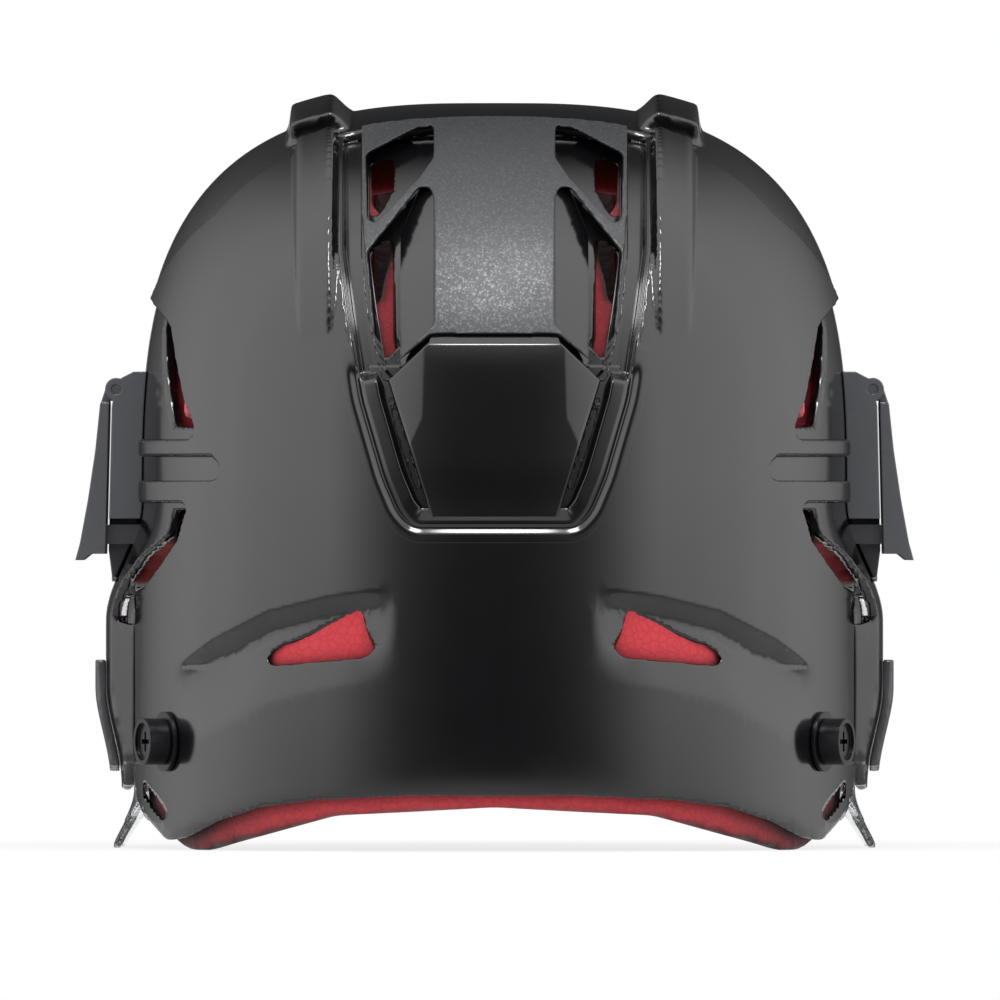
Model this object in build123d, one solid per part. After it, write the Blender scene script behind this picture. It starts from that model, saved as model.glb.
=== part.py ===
from build123d import *

import os
from functools import cache
from math import cos, pi, radians, sin

# Ice hockey helmet in two telescoping shells, for a junior head.
# Frame: +Y is the wearer's front, +Z is up, and the floor that the helmet stands on is z = 0.
# The two shells, the liners and the pads all follow one head form, grown or shrunk by an offset.
# Rear outlines are drawn as seen from behind, in shares of half width and crown height.
# Side outlines are drawn as seen from the side, in shares of front or rear reach and crown height.

# Head form of the rear shell's outer face
HALF_WIDTH = 93.5
CROWN_HEIGHT = 192.0
EQUATOR_HEIGHT = 88.0
REAR_REACH = 122.0
FRONT_REACH = 125.2
NAPE_TUCK = 5.0
BELOW_FLOOR = 6.0
RING_EXPONENT = 2.4
WIDTH_EXPONENT = 3.0
LENGTH_EXPONENT = 2.3
RING_POINTS = 16
LEAN_STEPS = 30
FOOT_LEVEL_SHARES = (0.08, 0.25, 0.41, 0.57, 0.78, 1.0)
WAIST_LEVEL_SHARES = (0.0, 0.25, 0.5, 0.75, 1.0)
DOME_LEVEL_SHARES = (0.0, 0.15, 0.32, 0.5, 0.68, 0.82, 0.92, 0.975, 0.9985)

# Flare of the front shell beside the ears
EAR_FLARE = 9.0
FLARE_END_HEIGHT = 58.0
FLARE_DIP = 4.0
FLARE_DIP_HEIGHT = 15.0
FLARE_DIP_SPAN = 26.0
FLARE_DIP_FOOT_SPAN = 13.0

# Walls, gaps and clearances
SHELL_WALL = 2.8
SHELL_GAP = 0.4
SEAT_GAP = 0.3
LINER_INNER_DEPTH = 19.0
PAD_WALL = 5.0
OVERRUN = 40.0

# Raised ribs, as profiles of (share of half width, rise) over stations
# of (degrees from upright, share of rise)
RIB_SINK = 1.2
REAR_RIB_RISE = 5.5
REAR_RIB_EDGE_RISE = 4.5
REAR_RIB_PROFILE_SHARES = ((0.424, -1), (0.44, 1), (0.535, 2), (0.552, -1))
REAR_RIB_STATIONS = (
    (-31.5, 1.0), (-38, 1.0), (-46, 0.85), (-56, 0.55), (-68, 0.12), (-72, -0.1),
)
REAR_RIB_NARROWING = 0.12
FRONT_RIB_RISE = 7.4
FRONT_RIB_PROFILE_SHARES = ((0.352, -1), (0.378, 0), (0.443, 1), (0.555, 2), (0.567, -1))
FRONT_RIB_EDGE_RISE = 7.9
FRONT_RIB_STATIONS = (
    (-24, 1.0), (-8, 1.0), (12, 0.95), (32, 0.8), (50, 0.5), (66, 0.1), (70, -0.1),
)
FRONT_RIB_NARROWING = 0.1

# Sunk channel down the back
CHANNEL_STEP_DEPTH = 1.4
CHANNEL_ROOM_SHARE = 0.012
CHANNEL_DEPTH = 4.0
INSERT_DEPTH = 0.5
SKIRT_STEP = 1.2

# Rear shell outlines, as (share of half width, share of crown height)
CHANNEL_OUTER_SHARES = (
    (0.421, 1.2), (0.421, 0.794), (0.4, 0.712), (0.361, 0.595), (0.299, 0.491), (0.26, 0.446),
    (0.22, 0.426),
)
CHANNEL_INNER_SHARES = (
    (0.366, 1.2), (0.366, 0.794), (0.35, 0.715), (0.312, 0.632), (0.263, 0.542), (0.203, 0.458),
    (0.176, 0.452),
)
INSERT_SHARES = (
    (0.17, 1.2), (0.36, 1.2), (0.36, 0.841), (0.352, 0.794), (0.331, 0.688), (0.307, 0.637),
    (0.297, 0.63), (0.17, 0.68),
)
INSERT_UPPER_WINDOW_SHARES = (
    (0.349, 0.919), (0.211, 0.954), (0.165, 0.957), (0.165, 0.914), (0.203, 0.887), (0.318, 0.827),
    (0.343, 0.83),
)
INSERT_LOWER_WINDOW_SHARES = (
    (0.203, 0.875), (0.173, 0.873), (0.165, 0.86), (0.165, 0.693), (0.285, 0.634), (0.303, 0.637),
    (0.32, 0.668), (0.343, 0.789),
)
UPPER_HOLE_SHARES = ((0.345, 0.905), (0.274, 0.918), (0.274, 0.872), (0.318, 0.834), (0.342, 0.836))
LOWER_HOLE_SHARES = (
    (0.334, 0.79), (0.275, 0.81), (0.27, 0.677), (0.252, 0.672), (0.29, 0.645), (0.31, 0.66),
)
UPPER_FOAM_VENT_SHARES = ((0.334, 0.93), (0.262, 0.93), (0.262, 0.86), (0.306, 0.832), (0.334, 0.832))
LOWER_FOAM_VENT_SHARES = ((0.345, 0.815), (0.282, 0.815), (0.282, 0.78), (0.315, 0.71), (0.345, 0.71))
TONGUE_SHARES = ((0.176, 0.672), (0.29, 0.62), (0.19, 0.466), (0.172, 0.4), (0.0, 0.4))
UPPER_VENT_SHARES = (
    (1.2, 0.735), (0.95, 0.735), (0.877, 0.692), (0.863, 0.648), (0.841, 0.595), (0.811, 0.558),
    (0.817, 0.543), (1.2, 0.543),
)
PRONG_WINDOW_SHARES = ((1.2, 0.519), (0.76, 0.519), (0.74, 0.505), (0.751, 0.488), (1.2, 0.488))
PRONG_END_SHARES = ((1.2, 0.545), (0.967, 0.545), (0.967, 0.455), (1.2, 0.455))
LOWER_VENT_SHARES = (
    (1.2, 0.458), (0.825, 0.458), (0.839, 0.442), (0.858, 0.409), (0.907, 0.375), (0.991, 0.321),
    (1.2, 0.321),
)
CORNER_SLOT_SHARES = (
    (0.955, 0.093), (0.94, 0.09), (0.888, 0.06), (0.877, 0.048), (0.882, 0.037), (0.9, 0.039),
    (0.95, 0.072),
)
NAPE_VENT_SHARES = (
    (0.623, 0.255), (0.59, 0.27), (0.375, 0.287), (0.323, 0.266), (0.348, 0.255), (0.61, 0.244),
)
SKIRT_RECESS_SHARES = (
    (0.871, 0.239), (0.762, 0.276), (0.612, 0.313), (0.449, 0.333), (0.315, 0.34),
    (0.36, 0.3), (0.59, 0.282), (0.72, 0.24),
)
SHELL_HEM_SHARES = (
    (1.2, 0.2), (1.0, 0.117), (0.94, 0.044), (0.88, 0.012), (0.828, 0.016), (0.74, 0.039), (0.626, 0.058),
    (0.479, 0.068), (0.218, 0.074), (0.0, 0.074),
)
FOAM_HEM_SHARES = (
    (1.2, 0.2), (1.0, 0.13), (0.945, 0.055), (0.885, 0.022), (0.83, 0.0), (0.76, 0.0), (0.705, 0.009),
    (0.427, 0.047), (0.218, 0.052), (0.0, 0.058),
)

# Side outlines, as (share of reach, share of crown height); negative reach is towards the back
REAR_SHELL_EDGE_SHARES = (
    (-0.443, 1.2), (-0.443, 0.84), (-0.246, 0.734), (-0.246, 0.333), (-0.28, 0.31), (-0.28, -0.1),
)
TAB_TOP_SHARES = (-0.795, 0.552)
TAB_FOOT_SHARES = (-0.795, 0.448)
FRONT_SHELL_EDGE_SHARES = (
    (-0.656, 1.2), (-0.656, 0.86), (-0.328, 0.719), (-0.328, 0.693), (-0.492, 0.563), TAB_TOP_SHARES,
    TAB_FOOT_SHARES, (-0.508, 0.448), (-0.5, 0.41), (-0.38, 0.385), (-0.28, 0.35), (-0.226, 0.302),
    (-0.226, 0.11), (-0.189, 0.083), (-0.08, 0.073), (-0.045, 0.156), (0.0, 0.25), (0.12, 0.302),
    (0.22, 0.27), (0.29, 0.19), (0.41, 0.18), (0.52, 0.24), (0.62, 0.3), (0.8, 0.318), (1.2, 0.318),
)
FRONT_LINER_EDGE_SHARES = (
    (-0.615, 1.2), (-0.615, 0.86), (-0.295, 0.719), (-0.295, 0.68), (-0.45, 0.56), (-0.45, 0.43),
    (-0.24, 0.385), (-0.164, 0.35), (1.2, 0.35),
)
REAR_LINER_EDGE_SHARES = (
    (-0.697, 1.2), (-0.697, 0.854), (-0.541, 0.771), (-0.541, 0.375), (-0.344, 0.3125), (-0.27, 0.2),
    (-0.27, -0.1),
)
CENTRE_SEAM_SHARE = -0.377
FRONT_LINER_SEAM_SHARE = -0.344
REAR_LINER_SEAM_SHARE = -0.402

# Thicker crown of the front shell, in front of the layer that slides under the rear shell
CROWN_RISE = 1.4
CROWN_EDGE_SHARES = ((-0.43, 1.2), (-0.43, 0.845), (-0.228, 0.745), (1.2, 0.745), (1.2, 1.2))

# Curled rear edge of the front shell's legs, as (share of half width, share of rear reach) from above
LEG_CURL_SHARES = ((1.08, -0.1985), (0.968, -0.248), (0.968, -0.265), (1.08, -0.2155))
LEG_CURL_FOOT_SHARE = 0.11
LEG_CURL_TOP_SHARE = 0.3

# Front vents, seen from the front
FRONT_TOP_VENT_SHARES = ((0.12, 0.83), (0.3, 0.81), (0.33, 0.72), (0.16, 0.73))
FRONT_SIDE_VENT_SHARES = ((0.52, 0.72), (0.66, 0.67), (0.76, 0.55), (0.7, 0.55), (0.58, 0.64))

# Ear guards
GUARD_WALL = 2.2
GUARD_CORNER_RADIUS = 2.5
GUARD_SHARES = (
    (-0.19, 0.26), (-0.22, 0.11), (-0.268, 0.1), (-0.268, 0.07), (-0.2, 0.05), (-0.13, 0.0), (0.2, 0.0),
    (0.34, 0.07), (0.41, 0.18), (0.41, 0.3), (0.33, 0.335), (-0.13, 0.335),
)
EAR_HOLE_CENTRE_SHARES = (0.08, 0.17)
EAR_HOLE_HALF_LENGTH = 19.0
EAR_HOLE_HALF_HEIGHT = 21.0

# Strap anchor plates on the front shell's rear legs
ANCHOR_WALL = 2.4
ANCHOR_SHARES = ((-0.165, 0.25), (-0.155, 0.11), (-0.08, 0.1), (-0.07, 0.25))
STRAP_SOCKET_RADIUS = 2.5
STRAP_SOCKET_DEPTH = 1.6
STRAP_SOCKET_HEIGHT = 34.0
STRAP_SOCKET_REACH = -14.0
LEAN_STEP = 2.0

# Size levers on both sides, placed from their hinge
LEVER_REAR = -22.0
LEVER_FRONT = 26.0
HINGE_STANDOFF = 2.9
HINGE_HEIGHT = 117.0
HINGE_PIN_RADIUS = 1.25
HINGE_CLEARANCE = 0.05
KNUCKLE_RADIUS = 2.9
KNUCKLE_GAP = 0.5
EAR_WIDTH = 5.0
BASE_DEPTH = 12.4
BASE_TOP_WIDTH = 8.0
BASE_TOP_RISE = 4.5
BASE_BROW_RISE = 2.2
BASE_DROP = 49.0
BASE_FACE_DROP = 41.0
BASE_FACE_TOP_OUT = 1.2
BASE_FACE_FOOT_OUT = 2.1
BASE_CHAMFER = 1.0
FLAP_GAP = 0.7
FLAP_KICK = 10.5
FLAP_DROP = 43.6
FLAP_LIP = 2.0
FLAP_LIP_RISE = 1.6
FLAP_FACE_SHARES = ((0.4, 0.09), (0.514, 0.356), (0.695, 0.649), (0.886, 0.899), (1.0, 1.0))

# Pawls in the levers
PAWL_HEIGHT_ON_SHELL = 80.0
PAWL_REACH = -16.0
PAWL_THICKNESS = 5.0
PAWL_LENGTH = 9.0
PAWL_GAP = 0.5
PAWL_ROOT_STANDOFF = 4.1
PAWL_TEETH = 3
WINDOW_DROP = 8.5
WINDOW_SIDE_GAP = 1.5

# Size racks, carried by the rear shell and met by the pawls
RACK_DEPTH = 14.8
RACK_WALL = 2.2
RACK_HEIGHT = 8.0
RACK_FRONT = 4.0
RACK_REAR = -77.0
RACK_TOOTH_PITCH = 3.0
RACK_TOOTH_RISE = 1.2
RACK_TEETH = 12
RACK_ROOM = 1.0
TAB_ROOM = 3.0
SIZE_TRAVEL = 15.0

# Fasteners
SCREW_RADIUS = 2.1
SCREW_HOLE_GAP = 0.3
NUT_BARREL_RADIUS = 3.2
NUT_FLANGE_RADIUS = 7.0
NUT_FLANGE_WALL = 1.2
NUT_SINK = 1.6
NUT_POCKET_GAP = 0.6
STRAP_WASHER_RADIUS = 7.6
STRAP_WASHER_WALL = 1.0
STRAP_HEAD_RADIUS = 5.9
STRAP_HEAD_HEIGHT = 5.6
STRAP_HEAD_RIM = 1.1
STRAP_HEAD_DISH = 0.9
DRIVE_WIDTH = 1.1
DRIVE_LENGTH = 5.0
DRIVE_DEPTH = 1.6
STRAP_SCREW_SHARES = (0.888, 0.143)
BROW_SCREW_SHARES = (0.33, 0.42)
BROW_HEAD_RADIUS = 4.6
BROW_HEAD_HEIGHT = 2.2
VISOR_HOLE_RADIUS = 2.0
VISOR_HOLE_SPACING = 18.0
VISOR_CENTRE_REACH = 50.0
VISOR_HEIGHT = 72.0
VISOR_BOSS_LENGTH = 12.6
VISOR_BOSS_RADIUS = 6.0
VISOR_BOSS_RISE = 0.8
VISOR_FLANGE_RADIUS = 5.5

# Comfort pads, as outlines of shares seen from the front, from behind or from the side
BROW_PAD_SHARES = ((-0.62, 0.36), (-0.66, 0.5), (0.66, 0.5), (0.62, 0.36))
CROWN_PAD_SHARES = ((-0.34, 0.7), (-0.34, 1.2), (0.34, 1.2), (0.34, 0.7))
TEMPLE_PAD_SHARES = ((-0.35, 0.4), (-0.25, 0.58), (0.4, 0.58), (0.5, 0.36), (0.3, 0.37))
NAPE_PAD_SHARES = ((0.08, 0.13), (0.08, 0.42), (0.46, 0.46), (0.62, 0.36), (0.6, 0.13))
BACK_PAD_SHARES = ((-0.3, 0.5), (-0.34, 0.66), (0.34, 0.66), (0.3, 0.5))


def superellipse_share(share, exponent):
    """Share of an axis left at a share of the other axis."""
    return (1 - min(1.0, abs(share) ** exponent)) ** (1 / exponent)


def flare_at(z, flare):
    """How far the front shell stands out beside the ears at a height, with a waist above its feet."""
    part = min(1.0, max(0.0, (EQUATOR_HEIGHT - z) / (EQUATOR_HEIGHT - FLARE_END_HEIGHT)))
    span = FLARE_DIP_SPAN if z > FLARE_DIP_HEIGHT else FLARE_DIP_FOOT_SPAN
    dip = max(0.0, 1 - ((z - FLARE_DIP_HEIGHT) / span) ** 2) ** 2
    return flare * part * part * (3 - 2 * part) - FLARE_DIP * dip * flare / EAR_FLARE


def half_axes(z, grow, flare):
    """Half width, rear reach and front reach of the head form at a height."""
    climb = max(0.0, (z - EQUATOR_HEIGHT) / (CROWN_HEIGHT - EQUATOR_HEIGHT + grow))
    drop = max(0.0, (EQUATOR_HEIGHT - z) / EQUATOR_HEIGHT)
    width = (HALF_WIDTH + grow) * superellipse_share(climb, WIDTH_EXPONENT) + flare_at(z, flare)
    rear = (REAR_REACH + grow) * superellipse_share(climb, LENGTH_EXPONENT) - NAPE_TUCK * drop * drop
    front = (FRONT_REACH + grow) * superellipse_share(climb, LENGTH_EXPONENT)
    return width, rear, front


def signed_power(value, power):
    """Power of a value that keeps its sign."""
    return abs(value) ** power * (1 if value > 0 else -1)


def arc(width, reach, z):
    """Half of a level curve, from the right side round an end to the left side."""
    points, start = [], Vector(0, reach, 0).normalized()
    for k in range(RING_POINTS // 2 + 1):
        turn = 2 * pi * k / RING_POINTS
        x = width * signed_power(cos(turn), 2 / RING_EXPONENT)
        points.append(Vector(x, reach * signed_power(sin(turn), 2 / RING_EXPONENT), z))
    return Edge.make_spline(points, tangents=[start, -start], scale=False)


def ring(z, grow, flare, back_only):
    """One closed level curve of the head form, or its back half with a straight front."""
    width, rear, front = half_axes(z, grow, flare)
    back = arc(width, -rear, z)
    if back_only:
        return Wire([back, Edge.make_line(back @ 1, back @ 0)])
    return Wire([back, arc(width, front, z)])


@cache
def form(grow=0.0, flare=0.0, back_only=False):
    """Solid head form, or its back half, grown by an offset: foot, waist and dome in one."""
    waist = EQUATOR_HEIGHT - FLARE_END_HEIGHT
    dome = CROWN_HEIGHT - EQUATOR_HEIGHT + grow
    stacks = (
        [-BELOW_FLOOR] + [FLARE_END_HEIGHT * share for share in FOOT_LEVEL_SHARES],
        [FLARE_END_HEIGHT + waist * share for share in WAIST_LEVEL_SHARES],
        [EQUATOR_HEIGHT + dome * share for share in DOME_LEVEL_SHARES],
    )
    lofts = [Solid.make_loft([ring(z, grow, flare, back_only) for z in levels]) for levels in stacks]
    return Part() + lofts


def back_form(grow=0.0):
    """Back half of the head form, grown by an offset."""
    return form(grow, 0.0, True)


def carve(shape, tools):
    """A shape less a list of tools, taken one after another."""
    for tool in tools:
        shape -= tool
    return shape


def flank_out(y, z, grow, flare):
    """Distance from the middle plane to the head form at a place seen from the side."""
    width, rear, front = half_axes(z, grow, flare)
    return width * superellipse_share(y / (front if y > 0 else rear), RING_EXPONENT)


def end_reach(x, z, grow, flare, towards):
    """Reach of the head form along Y at a place seen from behind (-1) or from the front (1)."""
    width, rear, front = half_axes(z, grow, flare)
    return towards * (front if towards > 0 else rear) * superellipse_share(x / width, RING_EXPONENT)


def outward(x, y, z, grow, flare):
    """Level outward direction of the head form at one of its points."""
    width, rear, front = half_axes(z, grow, flare)
    reach = front if y > 0 else rear
    across = signed_power(x, RING_EXPONENT - 1) / width**RING_EXPONENT
    along = signed_power(y, RING_EXPONENT - 1) / reach**RING_EXPONENT
    return Vector(across, along, 0).normalized()


def inside_form(x, y, z, grow):
    """Whether a point lies within the dome of the head form."""
    if z - EQUATOR_HEIGHT >= CROWN_HEIGHT - EQUATOR_HEIGHT + grow:
        return False
    width, rear, front = half_axes(z, grow, 0)
    reach = front if y > 0 else rear
    return (abs(x) / width) ** RING_EXPONENT + (abs(y) / reach) ** RING_EXPONENT < 1


def lean_point(x, lean, grow, rise):
    """Point above the dome at a place across and at an angle of lean from upright, towards the front."""
    along, up = sin(radians(lean)), cos(radians(lean))
    near, far = 0, CROWN_HEIGHT
    for _ in range(LEAN_STEPS):
        middle = (near + far) / 2
        if inside_form(x, middle * along, EQUATOR_HEIGHT + middle * up, grow):
            near = middle
        else:
            far = middle
    return Vector(x, (near + rise) * along, EQUATOR_HEIGHT + (near + rise) * up)


def rib(profile, stations, rises, narrowing, grow):
    """Raised rib on the right side, lofted through leaning sections."""
    sections = []
    for lean, share in stations:
        points = []
        middle = (profile[0][0] + profile[-1][0]) / 2
        for x, rise in profile:
            x = middle + (x - middle) * (1 - narrowing * (1 - max(0, share)))
            height = -RIB_SINK if rise < 0 else max(-RIB_SINK / 2, rises[rise] * share)
            points.append(lean_point(x * HALF_WIDTH, lean, grow, height))
        sections.append(Polyline(*points, close=True).wire())
    return Solid.make_loft(sections)


def end_points(shares, side=1):
    """Points of an outline of shares seen from behind, in the X-Z plane."""
    return [(side * x * HALF_WIDTH, z * CROWN_HEIGHT) for x, z in shares]


def side_points(shares):
    """Points of an outline of shares seen from the side, in the Y-Z plane."""
    return [(y * (FRONT_REACH if y > 0 else REAR_REACH), z * CROWN_HEIGHT) for y, z in shares]


def along_y(points, y_from, y_to):
    """Prism of an X-Z outline between two places along Y."""
    face = make_face(Polyline(*points, close=True))
    return extrude(Plane.XZ.offset(-y_to) * face, amount=y_to - y_from)


def along_x(points, x_from, x_to):
    """Prism of a Y-Z outline between two places along X."""
    face = make_face(Polyline(*points, close=True))
    return extrude(Plane.YZ.offset(x_from) * face, amount=x_to - x_from)


def far_back():
    """Place along Y that is clear behind everything."""
    return -REAR_REACH - OVERRUN


def far_front():
    """Place along Y that is clear in front of everything."""
    return FRONT_REACH + OVERRUN


def far_out():
    """Place along X that is clear outside everything."""
    return HALF_WIDTH + OVERRUN


def far_up():
    """Height that is clear above everything."""
    return CROWN_HEIGHT + OVERRUN


def rear_prism(shares, side=1):
    """Prism through the back half of the helmet from an outline seen from behind."""
    return along_y(end_points(shares, side), far_back(), 0)


def rear_prisms(shares):
    """The left and right prisms of one outline seen from behind."""
    return [rear_prism(shares, side) for side in (-1, 1)]


def mirrored_outline(shares):
    """Closed outline across the middle from the points of its right half."""
    return [(x, z) for x, z in shares] + [(-x, z) for x, z in reversed(shares) if x > 0]


def on_left(build):
    """The left piece that mirrors a right piece."""
    return mirror(build(), about=Plane.YZ)


def both_sides(part):
    """A part with its mirror image on the other side."""
    return part + mirror(part, about=Plane.YZ)


def front_of(edge_shares, x_from, x_to):
    """Everything in front of a seam line that is drawn from the side, between two places across."""
    points = side_points(edge_shares)
    low, high = points[-1][1], points[0][1]
    return along_x(points + [(far_front(), low), (far_front(), high)], x_from, x_to)


def front_sides(edge_shares, seam_share, half_width):
    """Everything in front of a rear piece: its two side seams, and its middle seam."""
    seam = seam_share * REAR_REACH
    sides = [front_of(edge_shares, half_width, far_out()), front_of(edge_shares, -far_out(), -half_width)]
    return sides + [box_between((-half_width, seam, -2 * BELOW_FLOOR), (half_width, far_front(), far_up()))]


def outside_front(edge_shares, seam_share, half_width):
    """Everything behind and below a front piece, with its middle seam further forward."""
    points = side_points(edge_shares)
    low, high = -2 * BELOW_FLOOR, points[0][1]
    back = along_x(
        points + [(far_front(), low), (far_back(), low), (far_back(), high)], -far_out(), far_out()
    )
    return [back, centre_slab(half_width, far_back(), seam_share * REAR_REACH + SEAT_GAP)]


def centre_slab(half_width, y_from, y_to):
    """Upright slab across the middle of the helmet, above its widest level."""
    return box_between((-half_width, y_from, EQUATOR_HEIGHT), (half_width, y_to, far_up()))


def under_hem(shares):
    """Everything below a hem line that is drawn from behind."""
    hem = mirrored_outline(shares)
    low = -2 * BELOW_FLOOR / CROWN_HEIGHT
    return along_y(end_points([(-shares[0][0], low), (shares[0][0], low)] + hem), far_back(), 0)


def fit_front():
    """Offset of the front shell's outer face from the head form."""
    return -SHELL_WALL - SHELL_GAP


def front_inner():
    """Offset of the front shell's inner face from the head form."""
    return fit_front() - SHELL_WALL


def screw_place(x, z, towards, grow, flare):
    """Plane on the head form at a place seen from an end, facing straight out."""
    y = end_reach(x, z, grow, flare, towards)
    return Plane(origin=(x, y, z), z_dir=outward(x, y, z, grow, flare))


def drum(radius, low, high):
    """Upright cylinder between two heights."""
    return Pos(0, 0, (low + high) / 2) * Cylinder(radius, high - low)


def drive_cross(top):
    """Cross recess of a screw head, sunk from its top."""
    bar = Box(DRIVE_LENGTH, DRIVE_WIDTH, DRIVE_DEPTH)
    return Pos(0, 0, top - DRIVE_DEPTH / 2) * (bar + Rot(0, 0, 90) * bar)


def strap_places():
    """Planes of the two strap screws on the rear shell's corners."""
    x, z = STRAP_SCREW_SHARES[0] * HALF_WIDTH, STRAP_SCREW_SHARES[1] * CROWN_HEIGHT
    return [screw_place(side * x, z, -1, 0, 0) for side in (-1, 1)]


def brow_places():
    """Planes of the two screws on the forehead."""
    x, z = BROW_SCREW_SHARES[0] * HALF_WIDTH, BROW_SCREW_SHARES[1] * CROWN_HEIGHT
    return [screw_place(side * x, z, 1, fit_front(), EAR_FLARE) for side in (-1, 1)]


def visor_places():
    """Planes of the four visor holes on the temples, facing straight sideways."""
    places = []
    for side in (-1, 1):
        for step in (-0.5, 0.5):
            y = VISOR_CENTRE_REACH + step * VISOR_HOLE_SPACING
            places.append(Plane(origin=(side * visor_face_out(), y, VISOR_HEIGHT), z_dir=(side, 0, 0)))
    return places


def visor_face_out():
    """Distance from the middle plane to the flat faces of the visor bosses."""
    near = VISOR_CENTRE_REACH - VISOR_HOLE_SPACING / 2 - VISOR_BOSS_RADIUS
    return flank_out(near, VISOR_HEIGHT, fit_front(), EAR_FLARE) + VISOR_BOSS_RISE


def nut_barrel_depth():
    """Depth below the shell's face that a nut's flange starts at."""
    return SHELL_WALL + NUT_SINK


def tee_nut():
    """Nut with a barrel through the shell and a flange behind it."""
    top = nut_barrel_depth()
    flange = drum(NUT_FLANGE_RADIUS, -top - NUT_FLANGE_WALL, -top)
    barrel = drum(NUT_BARREL_RADIUS, -top, -SEAT_GAP)
    return flange + barrel - drum(SCREW_RADIUS + HINGE_CLEARANCE, -top - OVERRUN, OVERRUN)


def nut_pocket(depth):
    """Room in the foam round a nut, from the shell inwards."""
    return drum(NUT_FLANGE_RADIUS + NUT_POCKET_GAP, -depth - NUT_POCKET_GAP, 0)


def nut_depth():
    """Depth below the shell's face that a nut and its screw reach."""
    return nut_barrel_depth() + NUT_FLANGE_WALL + NUT_POCKET_GAP


def rear_shell():
    """Rear shell: wall, sunk channel with its tongue, two raised ribs, vents, prongs and screw holes."""
    channel, groove, tongue = [
        rear_prism(mirrored_outline(shares))
        for shares in (CHANNEL_OUTER_SHARES, CHANNEL_INNER_SHARES, TONGUE_SHARES)
    ]
    half_channel = CHANNEL_OUTER_SHARES[0][0] * HALF_WIDTH
    edges = front_sides(REAR_SHELL_EDGE_SHARES, CENTRE_SEAM_SHARE, half_channel)
    inner = back_form(-SHELL_WALL) - (channel - back_form(-CHANNEL_DEPTH - SHELL_WALL))
    steps = [channel - back_form(-CHANNEL_STEP_DEPTH), groove - tongue - back_form(-CHANNEL_DEPTH)]
    shell = carve(back_form(), steps)
    shell = carve(shell, edges + [under_hem(SHELL_HEM_SHARES), inner])
    shell -= [prism - back_form(-SKIRT_STEP) for prism in rear_prisms(SKIRT_RECESS_SHARES)]
    for outline in (
        UPPER_VENT_SHARES, PRONG_WINDOW_SHARES, PRONG_END_SHARES, LOWER_VENT_SHARES,
        CORNER_SLOT_SHARES, NAPE_VENT_SHARES, UPPER_HOLE_SHARES, LOWER_HOLE_SHARES,
    ):
        shell -= rear_prisms(outline)
    shell -= [place * screw_bore() for place in strap_places()]
    rises = (0, REAR_RIB_RISE, REAR_RIB_EDGE_RISE)
    return shell + both_sides(rib(REAR_RIB_PROFILE_SHARES, REAR_RIB_STATIONS, rises, REAR_RIB_NARROWING, 0))


def screw_bore():
    """Bore for a nut's barrel, well past both faces of a shell."""
    return drum(NUT_BARREL_RADIUS + SCREW_HOLE_GAP, -OVERRUN / 2, OVERRUN / 2)


def crown_insert():
    """Vent frame set in the channel: a centre panel, two arms and two slanting struts."""
    insert = back_form(-INSERT_DEPTH) & rear_prism(mirrored_outline(INSERT_SHARES))
    seam = CENTRE_SEAM_SHARE * REAR_REACH - SEAT_GAP
    insert = carve(insert, [centre_slab(HALF_WIDTH, seam, far_front()), back_form(-CHANNEL_DEPTH + SEAT_GAP)])
    for outline in (INSERT_UPPER_WINDOW_SHARES, INSERT_LOWER_WINDOW_SHARES):
        insert -= rear_prisms(outline)
    return insert


def leg_curl(side):
    """Rear edge of one leg of the front shell, curled in towards the rear shell."""
    points = [(side * x * HALF_WIDTH, y * REAR_REACH) for x, y in LEG_CURL_SHARES]
    low, high = LEG_CURL_FOOT_SHARE * CROWN_HEIGHT, LEG_CURL_TOP_SHARE * CROWN_HEIGHT
    slab = extrude(Plane.XY.offset(low) * make_face(Polyline(*points, close=True)), amount=high - low)
    return slab & form(fit_front(), EAR_FLARE)


def crown_layer(half_channel):
    """Thicker crown of the front shell, down to a line round the temples and the forehead."""
    seam = CENTRE_SEAM_SHARE * REAR_REACH + SEAT_GAP
    area = along_x(side_points(CROWN_EDGE_SHARES), -far_out(), far_out())
    area -= centre_slab(half_channel, far_back(), seam)
    return (form(fit_front() + CROWN_RISE, EAR_FLARE) & area) - form(front_inner(), EAR_FLARE)


def front_shell():
    """Front shell: wall, crown, curled legs, two ribs, vents, screw holes, visor bosses and lever windows."""
    inner = form(front_inner(), EAR_FLARE)
    half_channel = CHANNEL_OUTER_SHARES[0][0] * HALF_WIDTH
    edges = outside_front(FRONT_SHELL_EDGE_SHARES, CENTRE_SEAM_SHARE, half_channel)
    shell = carve(form(fit_front(), EAR_FLARE), edges + [inner]) + [leg_curl(side) for side in (-1, 1)]
    shell += crown_layer(half_channel)
    for outline in (FRONT_TOP_VENT_SHARES, FRONT_SIDE_VENT_SHARES):
        shell -= [along_y(end_points(outline, side), 0, far_front()) for side in (-1, 1)]
    shell -= [pawl_window(side) for side in (-1, 1)] + [place * screw_bore() for place in brow_places()]
    shell += [place * drum(VISOR_BOSS_RADIUS, -VISOR_BOSS_LENGTH, 0) for place in visor_places()]
    rises = (0, FRONT_RIB_RISE, FRONT_RIB_EDGE_RISE)
    ridge = rib(FRONT_RIB_PROFILE_SHARES, FRONT_RIB_STATIONS, rises, FRONT_RIB_NARROWING, fit_front())
    shell += both_sides(ridge)
    return shell - [place * screw_bore() for place in visor_places()]


def hinge_out():
    """Distance from the middle plane to a lever's hinge axis."""
    return HALF_WIDTH + HINGE_STANDOFF


def rack_out():
    """Distance from the middle plane to a rack's toothed face."""
    return HALF_WIDTH - RACK_DEPTH


def pawl_tip_out():
    """Distance from the middle plane to a pawl's tip."""
    return rack_out() + RACK_TOOTH_RISE + PAWL_GAP


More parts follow.
